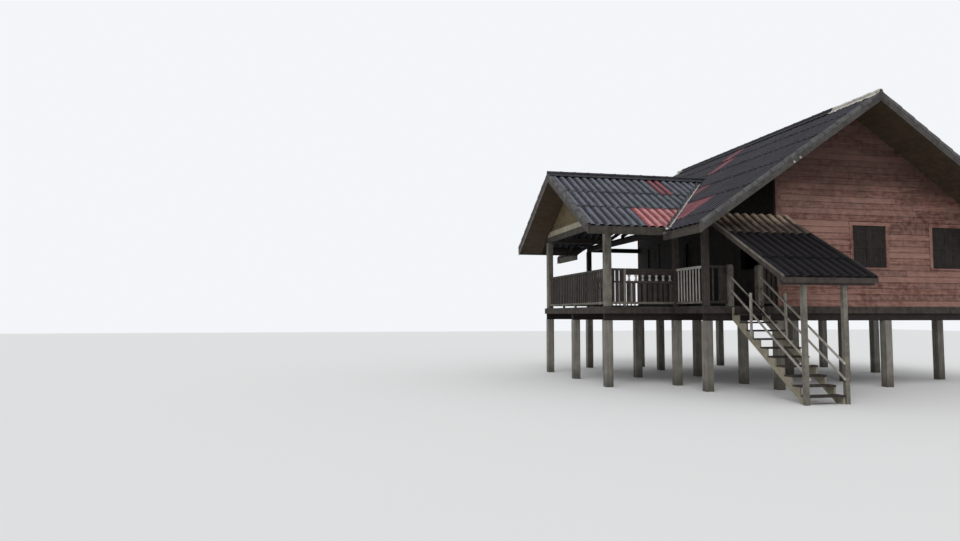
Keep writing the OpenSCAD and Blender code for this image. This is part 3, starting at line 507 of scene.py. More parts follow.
def timber(name, fresh, worn, dark, streak=0.5, blotch=0.5, wear=0.5, tone=0.4, along=None, shade=None,
           broad=0.2):
    """Sawn and weathered boards. Each board has its own grain, or along names one axis for all.

    tone is how much the boards differ, broad how much their wide fibres show, and shade gives the
    heights where the painted shade under the roof, with some dirt, begins and is full, and how dark it gets."""
    made, w, shader = material(name)
    fresh, worn, dark = rgb(fresh), rgb(worn), rgb(dark)
    if along:
        turn = w.add("Mapping")
        turn.inputs["Rotation"].default_value = {"x": (0, 0, 0), "z": (0, math.pi / 2, 0)}[along]
        w.feed(turn.inputs["Vector"], w.place())
        spot = turn.outputs["Vector"]
    else:
        spot = w.add("UVMap", uv_map="grain").outputs["UV"]
    grain, wide = w.placed(GRAIN, Vector=spot), w.placed(GRAIN, Vector=spot, Fineness=0.22)
    sky, island = w.placed(WEATHER, Size=1.0), w.island()
    colour = w.mix(w.ramp(grain["Fibre"], 0.35, 0.65), dark, fresh)
    colour = w.mix(w.times(w.ramp(wide["Fibre"], 0.48, 0.62), broad), colour, worn)
    colour = w.mix(w.times(island, tone), colour, worn)
    colour = w.mix(w.times(sky["Blotch"], blotch), colour, worn)
    colour = w.mix(w.times(sky["Streak"], streak), colour, dark)
    darker = w.ramp(w.math("FRACT", w.times(island, 7.3), 0.0), 0.4, 1.0)
    colour = w.mix(w.times(darker, tone * 0.6), colour, dark)
    colour = w.mix(w.times(grain["Crack"], 0.6), colour, dark)
    colour = w.mix(w.placed(EDGES, Amount=wear)["Wear"], colour, worn)
    # Painted shade under the roof, with some dirt: darker towards the top
    if shade:
        ragged = w.math("ADD", w.part(w.place(), "Z"), w.times(sky["Blotch"], 0.4))
        colour = w.mix(w.ramp(ragged, shade[0], shade[1], 0.0, shade[2]), colour, dark)
    w.feed(shader["Base Color"], colour)
    shader["Roughness"].default_value = 0.8
    shader["Specular IOR Level"].default_value = 0.3
    w.bump(shader, w.math("SUBTRACT", grain["Fibre"], grain["Crack"]), 0.35, 0.004)
    return made


def tile_finish(name, base, pale, grime_and_shade, lichen=0.3, trough=0.0, crest=0.0, moss=None, mixed=0.6, darkening_along_y=None):
    """Fibre cement gone grey and blotched with lichen, with painted shade and some grime in the troughs of
    its waves.

    crest is a painted highlight on the tops of the rolls, moss is the colour of broad damp patches, and mixed
    is how much the tiles differ. The last argument is two places along y and a colour: the tiles are mostly
    this colour up to the first place and keep their own from the second."""
    made, w, shader = material(name)
    base, pale, grime_and_shade = rgb(base), rgb(pale), rgb(grime_and_shade)
    sky, place = w.placed(WEATHER, Size=1.4), w.place()

    def ragged(value, by):
        return w.math("ADD", value, w.times(w.math("SUBTRACT", sky["Blotch"], 0.5), by))

    colour = w.mix(w.times(w.island(), mixed), base, grime_and_shade)
    if moss:
        colour = w.mix(w.ramp(w.noise(place, 0.55), 0.44, 0.58, 0.0, 0.7), colour, rgb(moss))
    colour = w.mix(w.times(sky["Blotch"], 0.45), colour, pale)
    colour = w.mix(w.times(sky["Streak"], 0.40), colour, grime_and_shade)
    colour = w.mix(w.times(sky["Speck"], lichen), colour, pale)
    if trough:
        roll = w.add("Attribute", attribute_name="roll").outputs["Fac"]
        # Painted highlight on the tops of the rolls
        colour = w.mix(w.ramp(roll, 0.80, 1.0, 0.0, crest), colour, pale)
        # Painted shade, with some grime, darkens the troughs of the waves
        trough_shade = w.ramp(ragged(roll, 0.2), 0.10, 1.0, trough, 0.0)
        colour = w.mix(trough_shade, colour, tuple(0.4 * c for c in grime_and_shade[:3]) + (1.0,))
    colour = w.mix(w.placed(EDGES, Amount=0.8)["Wear"], colour, pale)
    if darkening_along_y:
        # Darker towards low y: mostly the given colour up to the first place, and the tiles' own colour from
        # the second
        edge = ragged(w.part(place, "Y"), 0.12)
        colour = w.mix(w.ramp(edge, darkening_along_y[0], darkening_along_y[1], 0.85, 0.0), colour, rgb(darkening_along_y[2]))
    w.feed(shader["Base Color"], colour)
    w.feed(shader["Roughness"], w.ramp(sky["Blotch"], 0.0, 1.0, 0.60, 0.90))
    shader["Specular IOR Level"].default_value = 0.15
    w.bump(shader, sky["Speck"], 0.25, 0.003)
    return made


def concrete_finish(name, base, stain, pale):
    """Cast concrete with blotches and streaks, stained from the ground up."""
    made, w, shader = material(name)
    stain, sky, place = rgb(stain), w.placed(WEATHER, Size=2.0), w.place()
    ragged = w.math("ADD", w.part(place, "Z"), w.times(w.noise(place, 5.0), 0.5))
    colour = w.mix(w.times(sky["Blotch"], 0.6), rgb(base), rgb(pale))
    colour = w.mix(w.times(sky["Streak"], 0.5), colour, stain)
    colour = w.mix(w.ramp(ragged, 0.25, 0.75, 0.75, 0.0), colour, stain)
    w.feed(shader["Base Color"], colour)
    shader["Roughness"].default_value = 0.9
    w.bump(shader, w.noise(place, 60.0, 4.0), 0.4, 0.004)
    return made


def metal_finish(name, base, rust):
    """Folded sheet gone dull, with rust at the edges."""
    made, w, shader = material(name)
    rust, sky = rgb(rust), w.placed(WEATHER, Size=3.0)
    colour = w.mix(w.times(sky["Blotch"], 0.6), rgb(base), rust)
    w.feed(shader["Base Color"], w.mix(w.placed(EDGES, Amount=0.6)["Wear"], colour, rust))
    shader["Metallic"].default_value = 0.6
    w.feed(shader["Roughness"], w.ramp(sky["Blotch"], 0.0, 1.0, 0.45, 0.8))
    return made


TILE = tile_finish("weathered_tile", (58, 55, 63), (86, 84, 92), (35, 33, 39), 0.3, 1.0, 0.3, (46, 51, 54))
TILE_BLUE = tile_finish("porch_tile", (89, 91, 102), (128, 131, 141), (55, 57, 65), 0.3, 0.9, 0.3,
                        (76, 86, 90))
TILE_RED = tile_finish("red_tile", (182, 100, 104), (206, 156, 156), (126, 66, 70), 0.15, 0.75, 0.5)
TILE_RED_OLD = tile_finish("faded_red_tile", (136, 78, 86), (156, 108, 114), (88, 52, 60), 0.2, 1.0, 0.3)
TILE_CAP = tile_finish("ridge_tile", (56, 56, 61), (80, 80, 83), (36, 36, 41))
TILE_PALE = tile_finish("mortared_ridge_tile", (186, 182, 174), (226, 223, 216), (84, 80, 76), 0.5, mixed=0.3)
TILE_VERGE = tile_finish("verge_tile", (80, 79, 80), (104, 103, 102), (57, 56, 57), mixed=0.3)
TILE_DARK = tile_finish("shaded_tile", (25, 22, 26), (46, 42, 48), (11, 10, 13), 0.25, 1.0, 0.35)
TILE_BROWN = tile_finish("canopy_top_course_tile", (188, 166, 146), (214, 194, 172), (112, 94, 82), 0.2, 1.0, 0.5,
                         darkening_along_y=(-3.76, -3.22, (34, 29, 31)))
# Its shade paints the shade under the eaves, with some dirt, at the tops of the gables
RED_BOARD = timber("red_weatherboard", (116, 58, 50), (150, 116, 104), (40, 23, 21), 0.05, 0.3, tone=0.8,
                   broad=0.75, shade=(4.8, 5.7, 0.65))
RED_WALL = timber("red_wall", (96, 58, 52), (112, 84, 76), (56, 34, 32), along="z")
DARK_WALL = timber("dark_wall", (27, 22, 21), (38, 33, 30), (15, 13, 12), along="z")
DARK_BOARD = timber("dark_board", (30, 26, 25), (46, 40, 37), (17, 15, 14))
PURLIN_BOARD = timber("purlin_board", (30, 26, 25), (46, 40, 37), (17, 15, 14), along="x")
BROWN_BOARD = timber("brown_slat", (46, 40, 37), (78, 70, 65), (24, 20, 19), tone=0.75)
GREY_BOARD = timber("grey_board", (57, 52, 48), (81, 76, 69), (31, 28, 26), broad=0.5)
BARGE_BOARD = timber("barge_board", (70, 66, 65), (94, 91, 88), (46, 43, 42), 0.3)
PALE_BOARD = timber("pale_board", (89, 84, 75), (138, 133, 124), (46, 41, 35), 0.35, broad=0.6)
RAIL_BOARD = timber("pale_rail", (164, 158, 148), (190, 185, 176), (112, 105, 96), 0.25)
SILL_BOARD = timber("sill_board", (144, 137, 118), (166, 160, 142), (100, 93, 77), 0.25)
TAN_BOARD = timber("tan_board", (100, 87, 62), (119, 105, 78), (64, 55, 39), 0.3, 0.3, broad=0.5)
SOFFIT_BOARD = timber("soffit_board", (63, 51, 37), (76, 63, 47), (41, 33, 24), 0.1, 0.4)
WHITE_PAINT = timber("white_paint", (176, 173, 166), (200, 198, 192), (124, 119, 110), 0.25, 0.3, wear=0.2)
CONCRETE = concrete_finish("stub_post_concrete", (122, 118, 110), (72, 68, 60), (146, 142, 135))
ZINC = metal_finish("valley_metal", (92, 90, 89), (64, 56, 51))
# Pale zinc with a painted highlight, for the bright line down the valleys
ZINC_WITH_PAINTED_HIGHLIGHT = metal_finish("valley_metal_painted_highlight", (205, 205, 205), (150, 144, 138))


# Roof tiles
def wave(t):
    """Height of a double-roll tile across its rolls, from 0 in a trough to 1 on a roll."""
    return 1 - (0.5 + 0.5 * math.cos(2 * math.pi * t)) ** 1.5


def upward(a, b):
    """The upper one of the two directions square to both a and b."""
    normal = a.cross(b).normalized()
    return -normal if normal.z < 0 else normal


def tiled_slope(form, origin, across, up, length, stops, offset=0.0, special=lambda a, k: 0, lap_shadow_and_dirt=0.9):
    """Lays double-roll tiles from the eave up, in courses that end at the stops.

    origin is the eave corner at the top of the tiles, offset the part of the first tile cut off.
    special(middle of a tile along the eave, number of its course) gives its finish. The last argument
    is how dark a tile gets just under the next course: a painted shadow of the lap, with some dirt."""
    origin, across = Vector(origin), Vector(across)
    normal = upward(across, up)
    side_lap, end_lap, cover, steps = 0.035, 0.10, 2 * ROLL, 26
    # Least strip of a tile, lip at its foot, width of its rise over its neighbour, place of its screws
    edge, lip, rise, screw_up = 0.02, 0.003, 0.05, 0.09
    screw = ((0.016, -0.003), (0.016, 0.002), (0.008, 0.003), (0.006, 0.009))
    for k, (low, high) in enumerate(zip(stops, stops[1:])):
        last = k == len(stops) - 2
        tile = 0
        while tile * cover - offset < length - edge:
            lift, slip = draw.uniform(-0.0015, 0.0015), draw.uniform(-0.006, 0.006)
            start = tile * cover - offset
            a0, a1 = max(0.0, start), min(length, start + cover + side_lap)
            b0, b1 = low + (slip if k else 0), min(stops[-1], high + end_lap)
            rows, rolls = [], []
            for j, b in enumerate((b0, b0 + 0.03, (b0 + high) / 2, high - 0.12, high - 0.04, b1)):
                climb = LAP_LIFT * (b - b0) / (b1 - b0)
                # Painted shadow of the lap, with some dirt, on the rows just under the next course
                clear_of_lap_shadow_and_dirt = 1 - lap_shadow_and_dirt if j > 3 and not last else 1.0
                rows.append([])
                rolls.append([])
                for q in range(steps + 1):
                    a = a0 + (a1 - a0) * q / steps
                    crest = wave((a + offset) / ROLL)
                    over = SHEET * max(0.0, 1 - (a - a0) / rise) if tile else 0.0
                    drop = ROLL_H * (1 - crest) + climb - over - lift + (lip if j == 0 else 0)
                    rows[-1].append(origin + across * a + up * b - normal * drop)
                    rolls[-1].append(crest * clear_of_lap_shadow_and_dirt)
            form.sheet(rows, normal * SHEET, special(start + cover / 2, k), rolls)
            for roll in (0.5, 1.5):
                a = start + ROLL * roll
                if edge < a < length - edge:
                    foot = origin + across * a + up * (b0 + screw_up) + normal * (lift - 0.001)
                    form.turned(foot, screw, 8, 0, normal, across)
            tile += 1


def roofs():
    main_start, porch_start = MAIN_RAKE - BOARD, PORCH_RAKE - BOARD

    def main_finish(a, k):
        place = a - main_start
        return 1 if any(k == course and abs(place - y) < ROLL for y, course in RED_ON_MAIN) else 0

    def porch_finish(a, k):
        place = a - porch_start
        if k == 2 and PORCH_RED[0] < place < PORCH_RED[1]:
            return 2
        return 1 if k == 0 and place > PORCH_RED_OLD else 0

    for side, name in ((-1, "near"), (1, "far")):
        front = Form()
        tiled_slope(front, (-MAIN_HALF, -main_start, MAIN_EAVE), (0, 1, 0), main_up(-1), 2 * main_start,
                    MAIN_COURSES, MAIN_CUT, main_finish, 0.5)
        front.cut((0, 0, 0), (0, -side, 0))
        front.cut((valley_x(0) + VALLEY_GAP, 0, 0), (-1, -side * VALLEY_LEAN, 0))
        front.piece("main_front_tiles_" + name, [TILE, TILE_RED_OLD], ["main_roof_front"], "tiles")
    back = Form()
    tiled_slope(back, (MAIN_HALF, -main_start, MAIN_EAVE), (0, 1, 0), main_up(1), 2 * main_start,
                MAIN_COURSES, MAIN_CUT, lap_shadow_and_dirt=0.5)
    back.piece("main_back_tiles", [TILE], ["main_roof_back"], "tiles")
    for side, name, special in ((-1, "near", porch_finish), (1, "far", lambda a, k: 0)):
        porch = Form()
        tiled_slope(porch, (-porch_start, side * PORCH_HALF, PORCH_EAVE), (1, 0, 0), porch_up(side),
                    porch_start + valley_x(0), PORCH_COURSES, PORCH_CUT, special)
        porch.cut((valley_x(0) - VALLEY_GAP, 0, 0), (1, side * VALLEY_LEAN, 0))
        porch.piece("porch_tiles_" + name, [TILE_BLUE, TILE_RED, TILE_RED_OLD],
                    ["porch_roof_" + name], "tiles")
    canopy = Form()
    foot = (-CANOPY_LEFT, -BODY_END - CANOPY_REACH, CANOPY_TOP - CANOPY_FALL * CANOPY_REACH)
    tiled_slope(canopy, foot, (1, 0, 0), Vector((0, 1, CANOPY_FALL)).normalized(),
                CANOPY_LEFT - CANOPY_RIGHT, CANOPY_COURSES, 0.0, lambda a, k: 1 if k == 2 else 0)
    for vert in canopy.bm.verts:
        bend = max(0.0, (vert.co.y + BODY_END + CANOPY_BEND_Y) / CANOPY_BEND_Y)
        vert.co.z += CANOPY_BEND * bend * bend
    canopy.cut((0, 0, main_z(0) - RAFTER_FOOT - SOFFIT - 0.002), (-MAIN_RISE, 0, MAIN_HALF))
    canopy.piece("canopy_tiles", [TILE_DARK, TILE_BROWN], ["canopy_roof"], "tiles")


def cap_section(slope, wing):
    """Cross-section of a ridge cap, from wing to wing: (level, height) above the ridge line."""
    points = []
    for k in range(5):
        reach = wing * (1 - k / 5)
        points.append((-reach, -reach * slope + 0.010 + 0.004 * (1 - k / 5)))
    for k in range(9):
        turn = math.radians(170 - 160 * k / 8)
        points.append((0.060 * math.cos(turn), -0.012 + 0.076 * math.sin(turn)))
    return points + [(-x, z) for x, z in reversed(points[:5])]


def ridge_caps(form, at, along, side, length, slope, slot_of):
    """Short ridge caps laid one over the next, with scalloped wings that fit the tiles.

    slot_of(number of the cap, how many) gives its finish. Caps of finish 1 are lumpy with mortar."""
    at, along, side = Vector(at), Vector(along), Vector(side)
    caps, steps = shares(0, length, RIDGE_UNIT), 12
    for i, (start, end) in enumerate(caps):
        lift, slot, rows = draw.uniform(0, 0.002), slot_of(i, len(caps)), []
        lump = 0.026 if slot else 0.0
        lap = RIDGE_LAP if i < len(caps) - 1 else 0
        for s in range(steps + 1):
            part = s / steps
            reach = start + part * (end - start + lap)
            collar = 0.008 if part > 0.86 else 0.0
            wing = 0.200 - 0.022 * (wave(reach / ROLL) - 0.5)
            rows.append([at + along * reach + side * x
                         + Vector((0, 0, z + lift + collar - draw.uniform(0, lump)))
                         for x, z in cap_section(slope, wing)])
        form.sheet(rows, (0, 0, 0.008), slot)


def ridges():
    main = Form()
    ridge_caps(main, (0, -MAIN_RAKE, main_z(0)), (0, 1, 0), (1, 0, 0), 2 * MAIN_RAKE,
               MAIN_RISE / MAIN_HALF, lambda i, n: 1 if i < 4 or i == n - 1 else 0)
    main.piece("main_ridge_tiles", [TILE_CAP, TILE_PALE], ["main_ridge_cap"], "tiles")
    porch = Form()
    top_x = -MAIN_HALF * (1 - (porch_z(0) + 0.06 - MAIN_EAVE) / MAIN_RISE)
    ridge_caps(porch, (-PORCH_RAKE, 0, porch_z(0)), (1, 0, 0), (0, 1, 0), PORCH_RAKE + top_x,
               PORCH_RISE / PORCH_HALF, lambda i, n: 0)
    porch.cut((0, 0, main_z(0) - 0.03), (MAIN_RISE, 0, -MAIN_HALF))
    porch.piece("porch_ridge_tiles", [TILE_CAP], ["porch_ridge_cap"], "tiles")


def verge_units(form, foot, up, out, run):
    """Angle caps laid one over the next from the eave up, over the tiles and down the board."""
    foot, out = Vector(foot), Vector(out)
    normal = upward(up, out)
    section = ((-0.110, 0.002), (-0.100, 0.010), (-0.060, 0.016), (-0.012, 0.018), (0.006, 0.014),
               (0.016, 0.002), (0.016, -0.076))
    caps = shares(0, run, VERGE_UNIT)
    for i, (start, end) in enumerate(caps):
        rows, lap = [], VERGE_LAP if i < len(caps) - 1 else 0
        for part in (0.0, 0.04, 1.0):
            at = foot + up * (start + part * (end - start + lap))
            low, flare = 0.010 * part, 0.003 if part == 0 else 0.0
            rows.append([at + out * (a - (low if a > 0 else 0) - flare)
                         + normal * (b - (low if b > 0 else 0) - flare) for a, b in section])
        form.sheet(rows, normal * 0.005 + out * 0.005)


def verges():
    form, ridge_cap = Form(), 0.222
    for side in (-1, 1):
        run = math.hypot(MAIN_HALF, MAIN_RISE) * (MAIN_HALF - ridge_cap) / MAIN_HALF
        for end in (-1, 1):
            verge_units(form, (side * MAIN_HALF, end * MAIN_RAKE, MAIN_EAVE), main_up(side), (0, end, 0), run)
        run = math.hypot(PORCH_HALF, PORCH_RISE) * (PORCH_HALF - ridge_cap) / PORCH_HALF
        verge_units(form, (-PORCH_RAKE, side * PORCH_HALF, PORCH_EAVE), porch_up(side), (-1, 0, 0), run)
    form.piece("verge_tiles", [TILE_VERGE], ["verge_caps"], "tiles")


def valley_flashings():
    """Folded sheet in each valley, level with the middle of the rolls, with a spout at its foot. Its middle,
    main side and spout are pale zinc with a painted highlight.
    """
    form, gauge = Form(), (0, 0, 0.002)
    section = ((-0.084, 0.028), (-0.030, 0.050), (0.040, 0.050), (0.084, 0.026))
    lean_x, lean_y = 0.65, 0.76
    for side in (-1, 1):
        rows = [[(valley_x(y) + x, side * y, porch_z(y) - depth) for x, depth in section]
                for y in (PORCH_HALF - 0.02, 2.4, 1.6, 0.8, 0.16)]
        form.sheet([row[:2] for row in rows], gauge, 1)
        form.sheet([row[1:] for row in rows], gauge)
        across, spout = Vector((lean_y, side * lean_x, 0)), []
        for reach, half, fall in ((0.0, 0.066, 0.062), (0.10, 0.066, 0.085), (0.20, 0.062, 0.120),
                                  (0.30, 0.050, 0.140)):
            foot = Vector((valley_x(PORCH_HALF) - reach * lean_x, side * (PORCH_HALF + reach * lean_y),
                           PORCH_EAVE - fall))
            spout.append([foot + across * half * x + Vector((0, 0, 0.035 * x * x))
                          for x in (-1, -0.6, -0.2, 0.2, 0.6, 1)])
        form.sheet(spout, gauge)
    form.piece("valley_flashings", [ZINC_WITH_PAINTED_HIGHLIGHT, ZINC], (), "zinc")


# Frame timbers, each with its own grain
def timbers():
    for node, name, finish, record_slot, bevel in (
            ("girders", "girder_beams", DARK_BOARD, "dark_timber", 0.005),
            ("floor_joists", "joists", DARK_BOARD, "dark_timber", 0.003),
            ("rim_boards", "edge_boards", BROWN_BOARD, "grey_timber", 0.003),
            ("veranda_posts", "veranda_columns", BROWN_BOARD, "grey_timber", 0.008),
            ("porch_posts", "porch_columns", PALE_BOARD, "pale_timber", 0.010),
            ("veranda_beams", "veranda_bearers", DARK_BOARD, "dark_timber", 0.005),
            ("porch_beams", "porch_bearers", GREY_BOARD, "grey_timber", 0.005),
            ("gable_sill", "gable_sill_board", SILL_BOARD, "pale_timber", 0.004),
            ("main_rafters", "rafters", DARK_BOARD, "dark_timber", 0.003),
            ("main_purlins", "purlins", DARK_BOARD, "dark_timber", 0.003),
            ("porch_rafters", "rafters_of_porch", DARK_BOARD, "dark_timber", 0.003),
            ("eave_fascias", "fascia_boards", GREY_BOARD, "grey_timber", 0.003),
            ("stair_stringers", "stair_sides", SILL_BOARD, "pale_timber", 0.004),
            ("stair_treads", "steps", BROWN_BOARD, "grey_timber", 0.006),
            ("stair_newels", "newel_posts", PALE_BOARD, "pale_timber", 0.005),
            ("stair_rails", "stair_handrails", RAIL_BOARD, "white_paint", 0.005),
            ("canopy_frame", "canopy_timbers", BROWN_BOARD, "pale_timber", 0),
            ("canopy_posts", "canopy_columns", PALE_BOARD, "pale_timber", 0.006)):
        form = Form()
        form.take(node)
        form.piece(name, [finish], [node], record_slot, bevel)


def floors():
    """Floor boards, a little uneven, with open joints. Long ones are in two lengths."""
    for node, x0, x1, half in (("room_floor", -ROOM_FRONT, FLOOR_BACK, FLOOR_END),
                               ("veranda_floor", -FLOOR_FRONT, -ROOM_FRONT, FLOOR_END),
                               ("porch_floor", -PORCH_FLOOR_FRONT, -FLOOR_FRONT, PORCH_FLOOR_SIDE)):
        form, trim = Form(), FLOOR_JOINT / 2
        for y0, y1 in shares(-half, half, FLOOR_BOARD_W):
            dip, spans = draw.uniform(0, 0.0015), [(x0, x1)]
            if x1 - x0 > 4:
                joint = x0 + (x1 - x0) * draw.uniform(0.3, 0.7)
                spans = [(x0, joint - trim), (joint + trim, x1)]
            for a, b in spans:
                form.box(a, b, y0 + trim, y1 - trim, FLOOR - FLOOR_BOARD, FLOOR - dip)
        form.piece(node + "_boards", [GREY_BOARD], [node], "grey_timber", 0.002)


# Walls
def weatherboards(form, wall, a, b, z0, z1, holes):
    """Tapered boards that overlap downwards, from level a to b, round the holes (a, b, z0, z1)."""
    courses = shares(z0, z1, SHOW)
    show = (z1 - z0) / len(courses)

    def board(left, right, low, top, foot):
        joints = [left, right]
        if right - left > 4.2:
            joints.insert(1, left + (right - left) * draw.uniform(0.3, 0.7))
        gap = 0.001 if len(joints) > 2 else 0
        low_out, top_out = (FOOT_OUT + (HEAD_OUT - FOOT_OUT) * (z - foot) / show for z in (low, top))
        for start, end in zip(joints, joints[1:]):
            start += gap
            outline = [wall.at(start, low, 0), wall.at(start, low, low_out), wall.at(start, top, top_out),
                       wall.at(start, top, 0)]
            form.prism(outline, wall.at(end - gap, low, 0) - outline[0])

    for low, top in courses:
        spot = a
        for h0, h1, below, above in sorted(holes):
            if below < top and above > low:
                board(spot, h0, low, top, low)
                if below > low + 0.01:
                    board(h0, h1, low, below, low)
                if above < top - 0.01:
                    board(h0, h1, above, top, low)
                spot = h1
        board(spot, b, low, top, low)


def casing(form, wall, mid, width, z0, z1, sill=True):
    """Flat boards round an opening, with a sill that stands out."""
    half = width / 2
    for s in (-1, 1):
        a, b = sorted((mid + s * half, mid + s * (half + CASING_W)))
        wall.block(form, a, b, z0, z1, 0, CASING_OUT, True)
    over = half + CASING_W + CASING_OVER
    wall.block(form, mid - over, mid + over, z1, z1 + CASING_W, 0, CASING_OUT + 0.004)
    if sill:
        wall.block(form, mid - over, mid + over, z0 - SILL, z0, 0, SILL_OUT)


def cased(mid, width=WINDOW_W):
    """The hole that a window and its casing leave in the boards."""
    half = width / 2 + CASING_W
    return mid - half, mid + half, WINDOW_FOOT - SILL, WINDOW_HEAD + CASING_W


def leaf(form, wall, a, b, z0, z1, p0, p1, middle=0.5):
    """A framed and boarded leaf between two distances out of the wall."""
    deep, gap = p1 - p0, 0.0015
    for s0, s1 in ((a, a + STILE), (b - STILE, b)):
        wall.block(form, s0, s1, z0, z1, p0, p1, True)
    for z in (z0, z0 + (z1 - z0) * middle - LEAF_RAIL / 2, z1 - LEAF_RAIL):
        wall.block(form, a + STILE, b - STILE, z, z + LEAF_RAIL, p0, p1)
    for s0, s1 in shares(a + STILE, b - STILE, LEAF_BOARD, 2):
        wall.block(form, s0 + gap, s1 - gap, z0 + 0.01, z1 - 0.01, p0 + deep * 0.25, p1 - deep * 0.30, True)


def half_leaf(form, wall, side, mid, width, z0, z1, p0, middle=0.5):
    """One leaf of the pair that closes an opening."""
    half = (width - LEAF_GAP) / 2
    a = mid + side * (half + LEAF_GAP) / 2 - half / 2
    leaf(form, wall, a, a + half, z0, z1, p0, p0 + LEAF, middle)


def window_leaves(form, wall, mid, width):
    for side in (-1, 1):
        half_leaf(form, wall, side, mid, width, WINDOW_FOOT, WINDOW_HEAD, -LEAF)


def red_wall(name, wall, left, right, top, windows, gable):
    """Weatherboards, corner boards, casings and closed shutters of one wall."""
    boards, trim, shutters = Form(), Form(), Form()
    weatherboards(boards, wall, left + CORNER_W, right - CORNER_W, FLOOR, top, [cased(a) for a in windows])
    for a in (left - CORNER_OUT, right - CORNER_W):
        wall.block(trim, a, a + CORNER_W + CORNER_OUT, FLOOR, top, 0, CORNER_OUT, True)
    for mid in windows:
        casing(trim, wall, mid, WINDOW_W, WINDOW_FOOT, WINDOW_HEAD)
        window_leaves(shutters, wall, mid, WINDOW_W)
    if gable:
        for form in (boards, trim):
            form.under_main(RAFTER_FOOT + SOFFIT)
    boards.piece(name + "_boards", [RED_BOARD], (), "red_boards")
    trim.piece(name + "_trim", [RED_BOARD], (), "red_boards", 0.003)
    shutters.piece(name + "_shutters", [DARK_BOARD], ["window_shutters"], "dark_timber", 0.002)


def red_walls():
    for name, wall in (("near_gable", Wall("x", -BODY_END, -1)), ("far_gable", Wall("x", BODY_END, 1))):
        red_wall(name, wall, -ROOM_FRONT, BODY_HALF, main_z(0) - RAFTER_FOOT, GABLE_WINDOWS, True)
    red_wall("back", Wall("y", BODY_HALF, 1), -BODY_END, BODY_END, main_z(BODY_HALF) - RAFTER_FOOT,
             BACK_WINDOWS, False)


def front_wall():
    """Upright boards on the veranda side, with a rail at sill height, door and shutters."""
    wall = Wall("y", -ROOM_FRONT, -1)
    boards, trim, leaves, shutters = Form(), Form(), Form(), Form()
    inner, top = BODY_END - WALL, main_z(ROOM_FRONT) - RAFTER_FOOT
    board_w, board_out, gap, rail_out = 0.14, 0.014, 0.0015, 0.030
    door_side = DOOR_W / 2 + CASING_W
    holes = [(-door_side, door_side, FLOOR, DOOR_HEAD + CASING_W)]
    holes += [cased(s * FRONT_WINDOW_Y, FRONT_WINDOW_W) for s in (-1, 1)]
    for start, end in shares(-inner, inner, board_w):
        a, b, spans = start + gap, end - gap, [(FLOOR, top)]
        for h0, h1, below, above in holes:
            if h0 < b and h1 > a:
                spans = [(FLOOR, below), (above, top)]
        for low, high in spans:
            if high > low:
                wall.block(boards, a, b, low, high, 0, board_out, True)
    casing(trim, wall, 0, DOOR_W, FLOOR, DOOR_HEAD, False)
    window_side = FRONT_WINDOW_Y - FRONT_WINDOW_W / 2 - CASING_W - CASING_OVER
    for s in (-1, 1):
        casing(trim, wall, s * FRONT_WINDOW_Y, FRONT_WINDOW_W, WINDOW_FOOT, WINDOW_HEAD)
        a, b = sorted((s * door_side, s * window_side))
        wall.block(trim, a, b, WINDOW_FOOT - SILL, WINDOW_FOOT, 0, rail_out)
        half_leaf(leaves, wall, s, 0, DOOR_W, FLOOR, DOOR_HEAD, -2 * LEAF, 0.45)
    leaves.piece("door_leaves", [DARK_BOARD], ["front_door"], "dark_timber", 0.002)
    window_leaves(shutters, wall, FRONT_WINDOW_Y, FRONT_WINDOW_W)
    half = (FRONT_WINDOW_W - LEAF_GAP) / 2
    for s in (-1, 1):
        a = -FRONT_WINDOW_Y + s * (FRONT_WINDOW_W + half) / 2 - half / 2
        leaf(shutters, wall, a, a + half, WINDOW_FOOT, WINDOW_HEAD, 0.012, LEAF)
    shutters.piece("front_shutters", [DARK_BOARD], ["window_shutters"], "dark_timber", 0.002)
    boards.piece("front_boards", [DARK_BOARD], (), "dark_timber")
    trim.piece("front_trim", [DARK_BOARD], (), "dark_timber", 0.003)


# Gable of the porch, soffits and edge boards of the roofs
def porch_gable():
    """Overlapping boards across the porch gable, within the thickness of the solid one."""
    form, half, back, z = Form(), PORCH_POST_Y + 0.05, -GABLE_FACE + BOARD, TIE_TOP
    while z < porch_z(0) - RAFTER_TOP:
        top = z + GABLE_SHOW
        form.prism([(back, -half, z), (-GABLE_FACE, -half, z), (-GABLE_FACE + 0.012, -half, top),
                    (back, -half, top)], (0, 2 * half, 0))
        z = top
    form.under_porch(RAFTER_TOP)
    form.piece("porch_gable_boards", [TAN_BOARD], ["gable_boards"], "tan_boards")


def soffits():
    """Short boards under the roof past the gables, side by side up the slope."""
    form, joint, main_w, porch_w = Form(), 0.004, 0.16, 0.22

    def lay(foot, up, edge, fall, across, width):
        for start, end in shares(0, math.hypot(edge, edge * fall) - 0.003, width):
            thick = Vector((0, 0, SOFFIT - draw.uniform(0, 0.002)))
            form.bar(foot + up * (start + joint / 2) - thick, across, up * (end - start - joint), thick)

    for side in (-1, 1):
        edge = MAIN_HALF - EAVE_BACK
        for end in (-1, 1):
            foot = Vector((side * edge, end * BODY_END, main_z(edge) - RAFTER_FOOT))
            lay(foot, main_up(side), edge, MAIN_RISE / MAIN_HALF,
                (0, end * (MAIN_RAKE - BOARD - BODY_END), 0), main_w)
        edge = PORCH_HALF - EAVE_BACK
        foot = Vector((-PORCH_RAKE + BOARD, side * edge, porch_z(edge) - RAFTER_FOOT))
        lay(foot, porch_up(side), edge, PORCH_RISE / PORCH_HALF,
            (PORCH_RAKE - BOARD - GABLE_FACE, 0, 0), porch_w)
    form.piece("soffit_boards", [SOFFIT_BOARD], ["gable_soffits"], "soffit_boards")


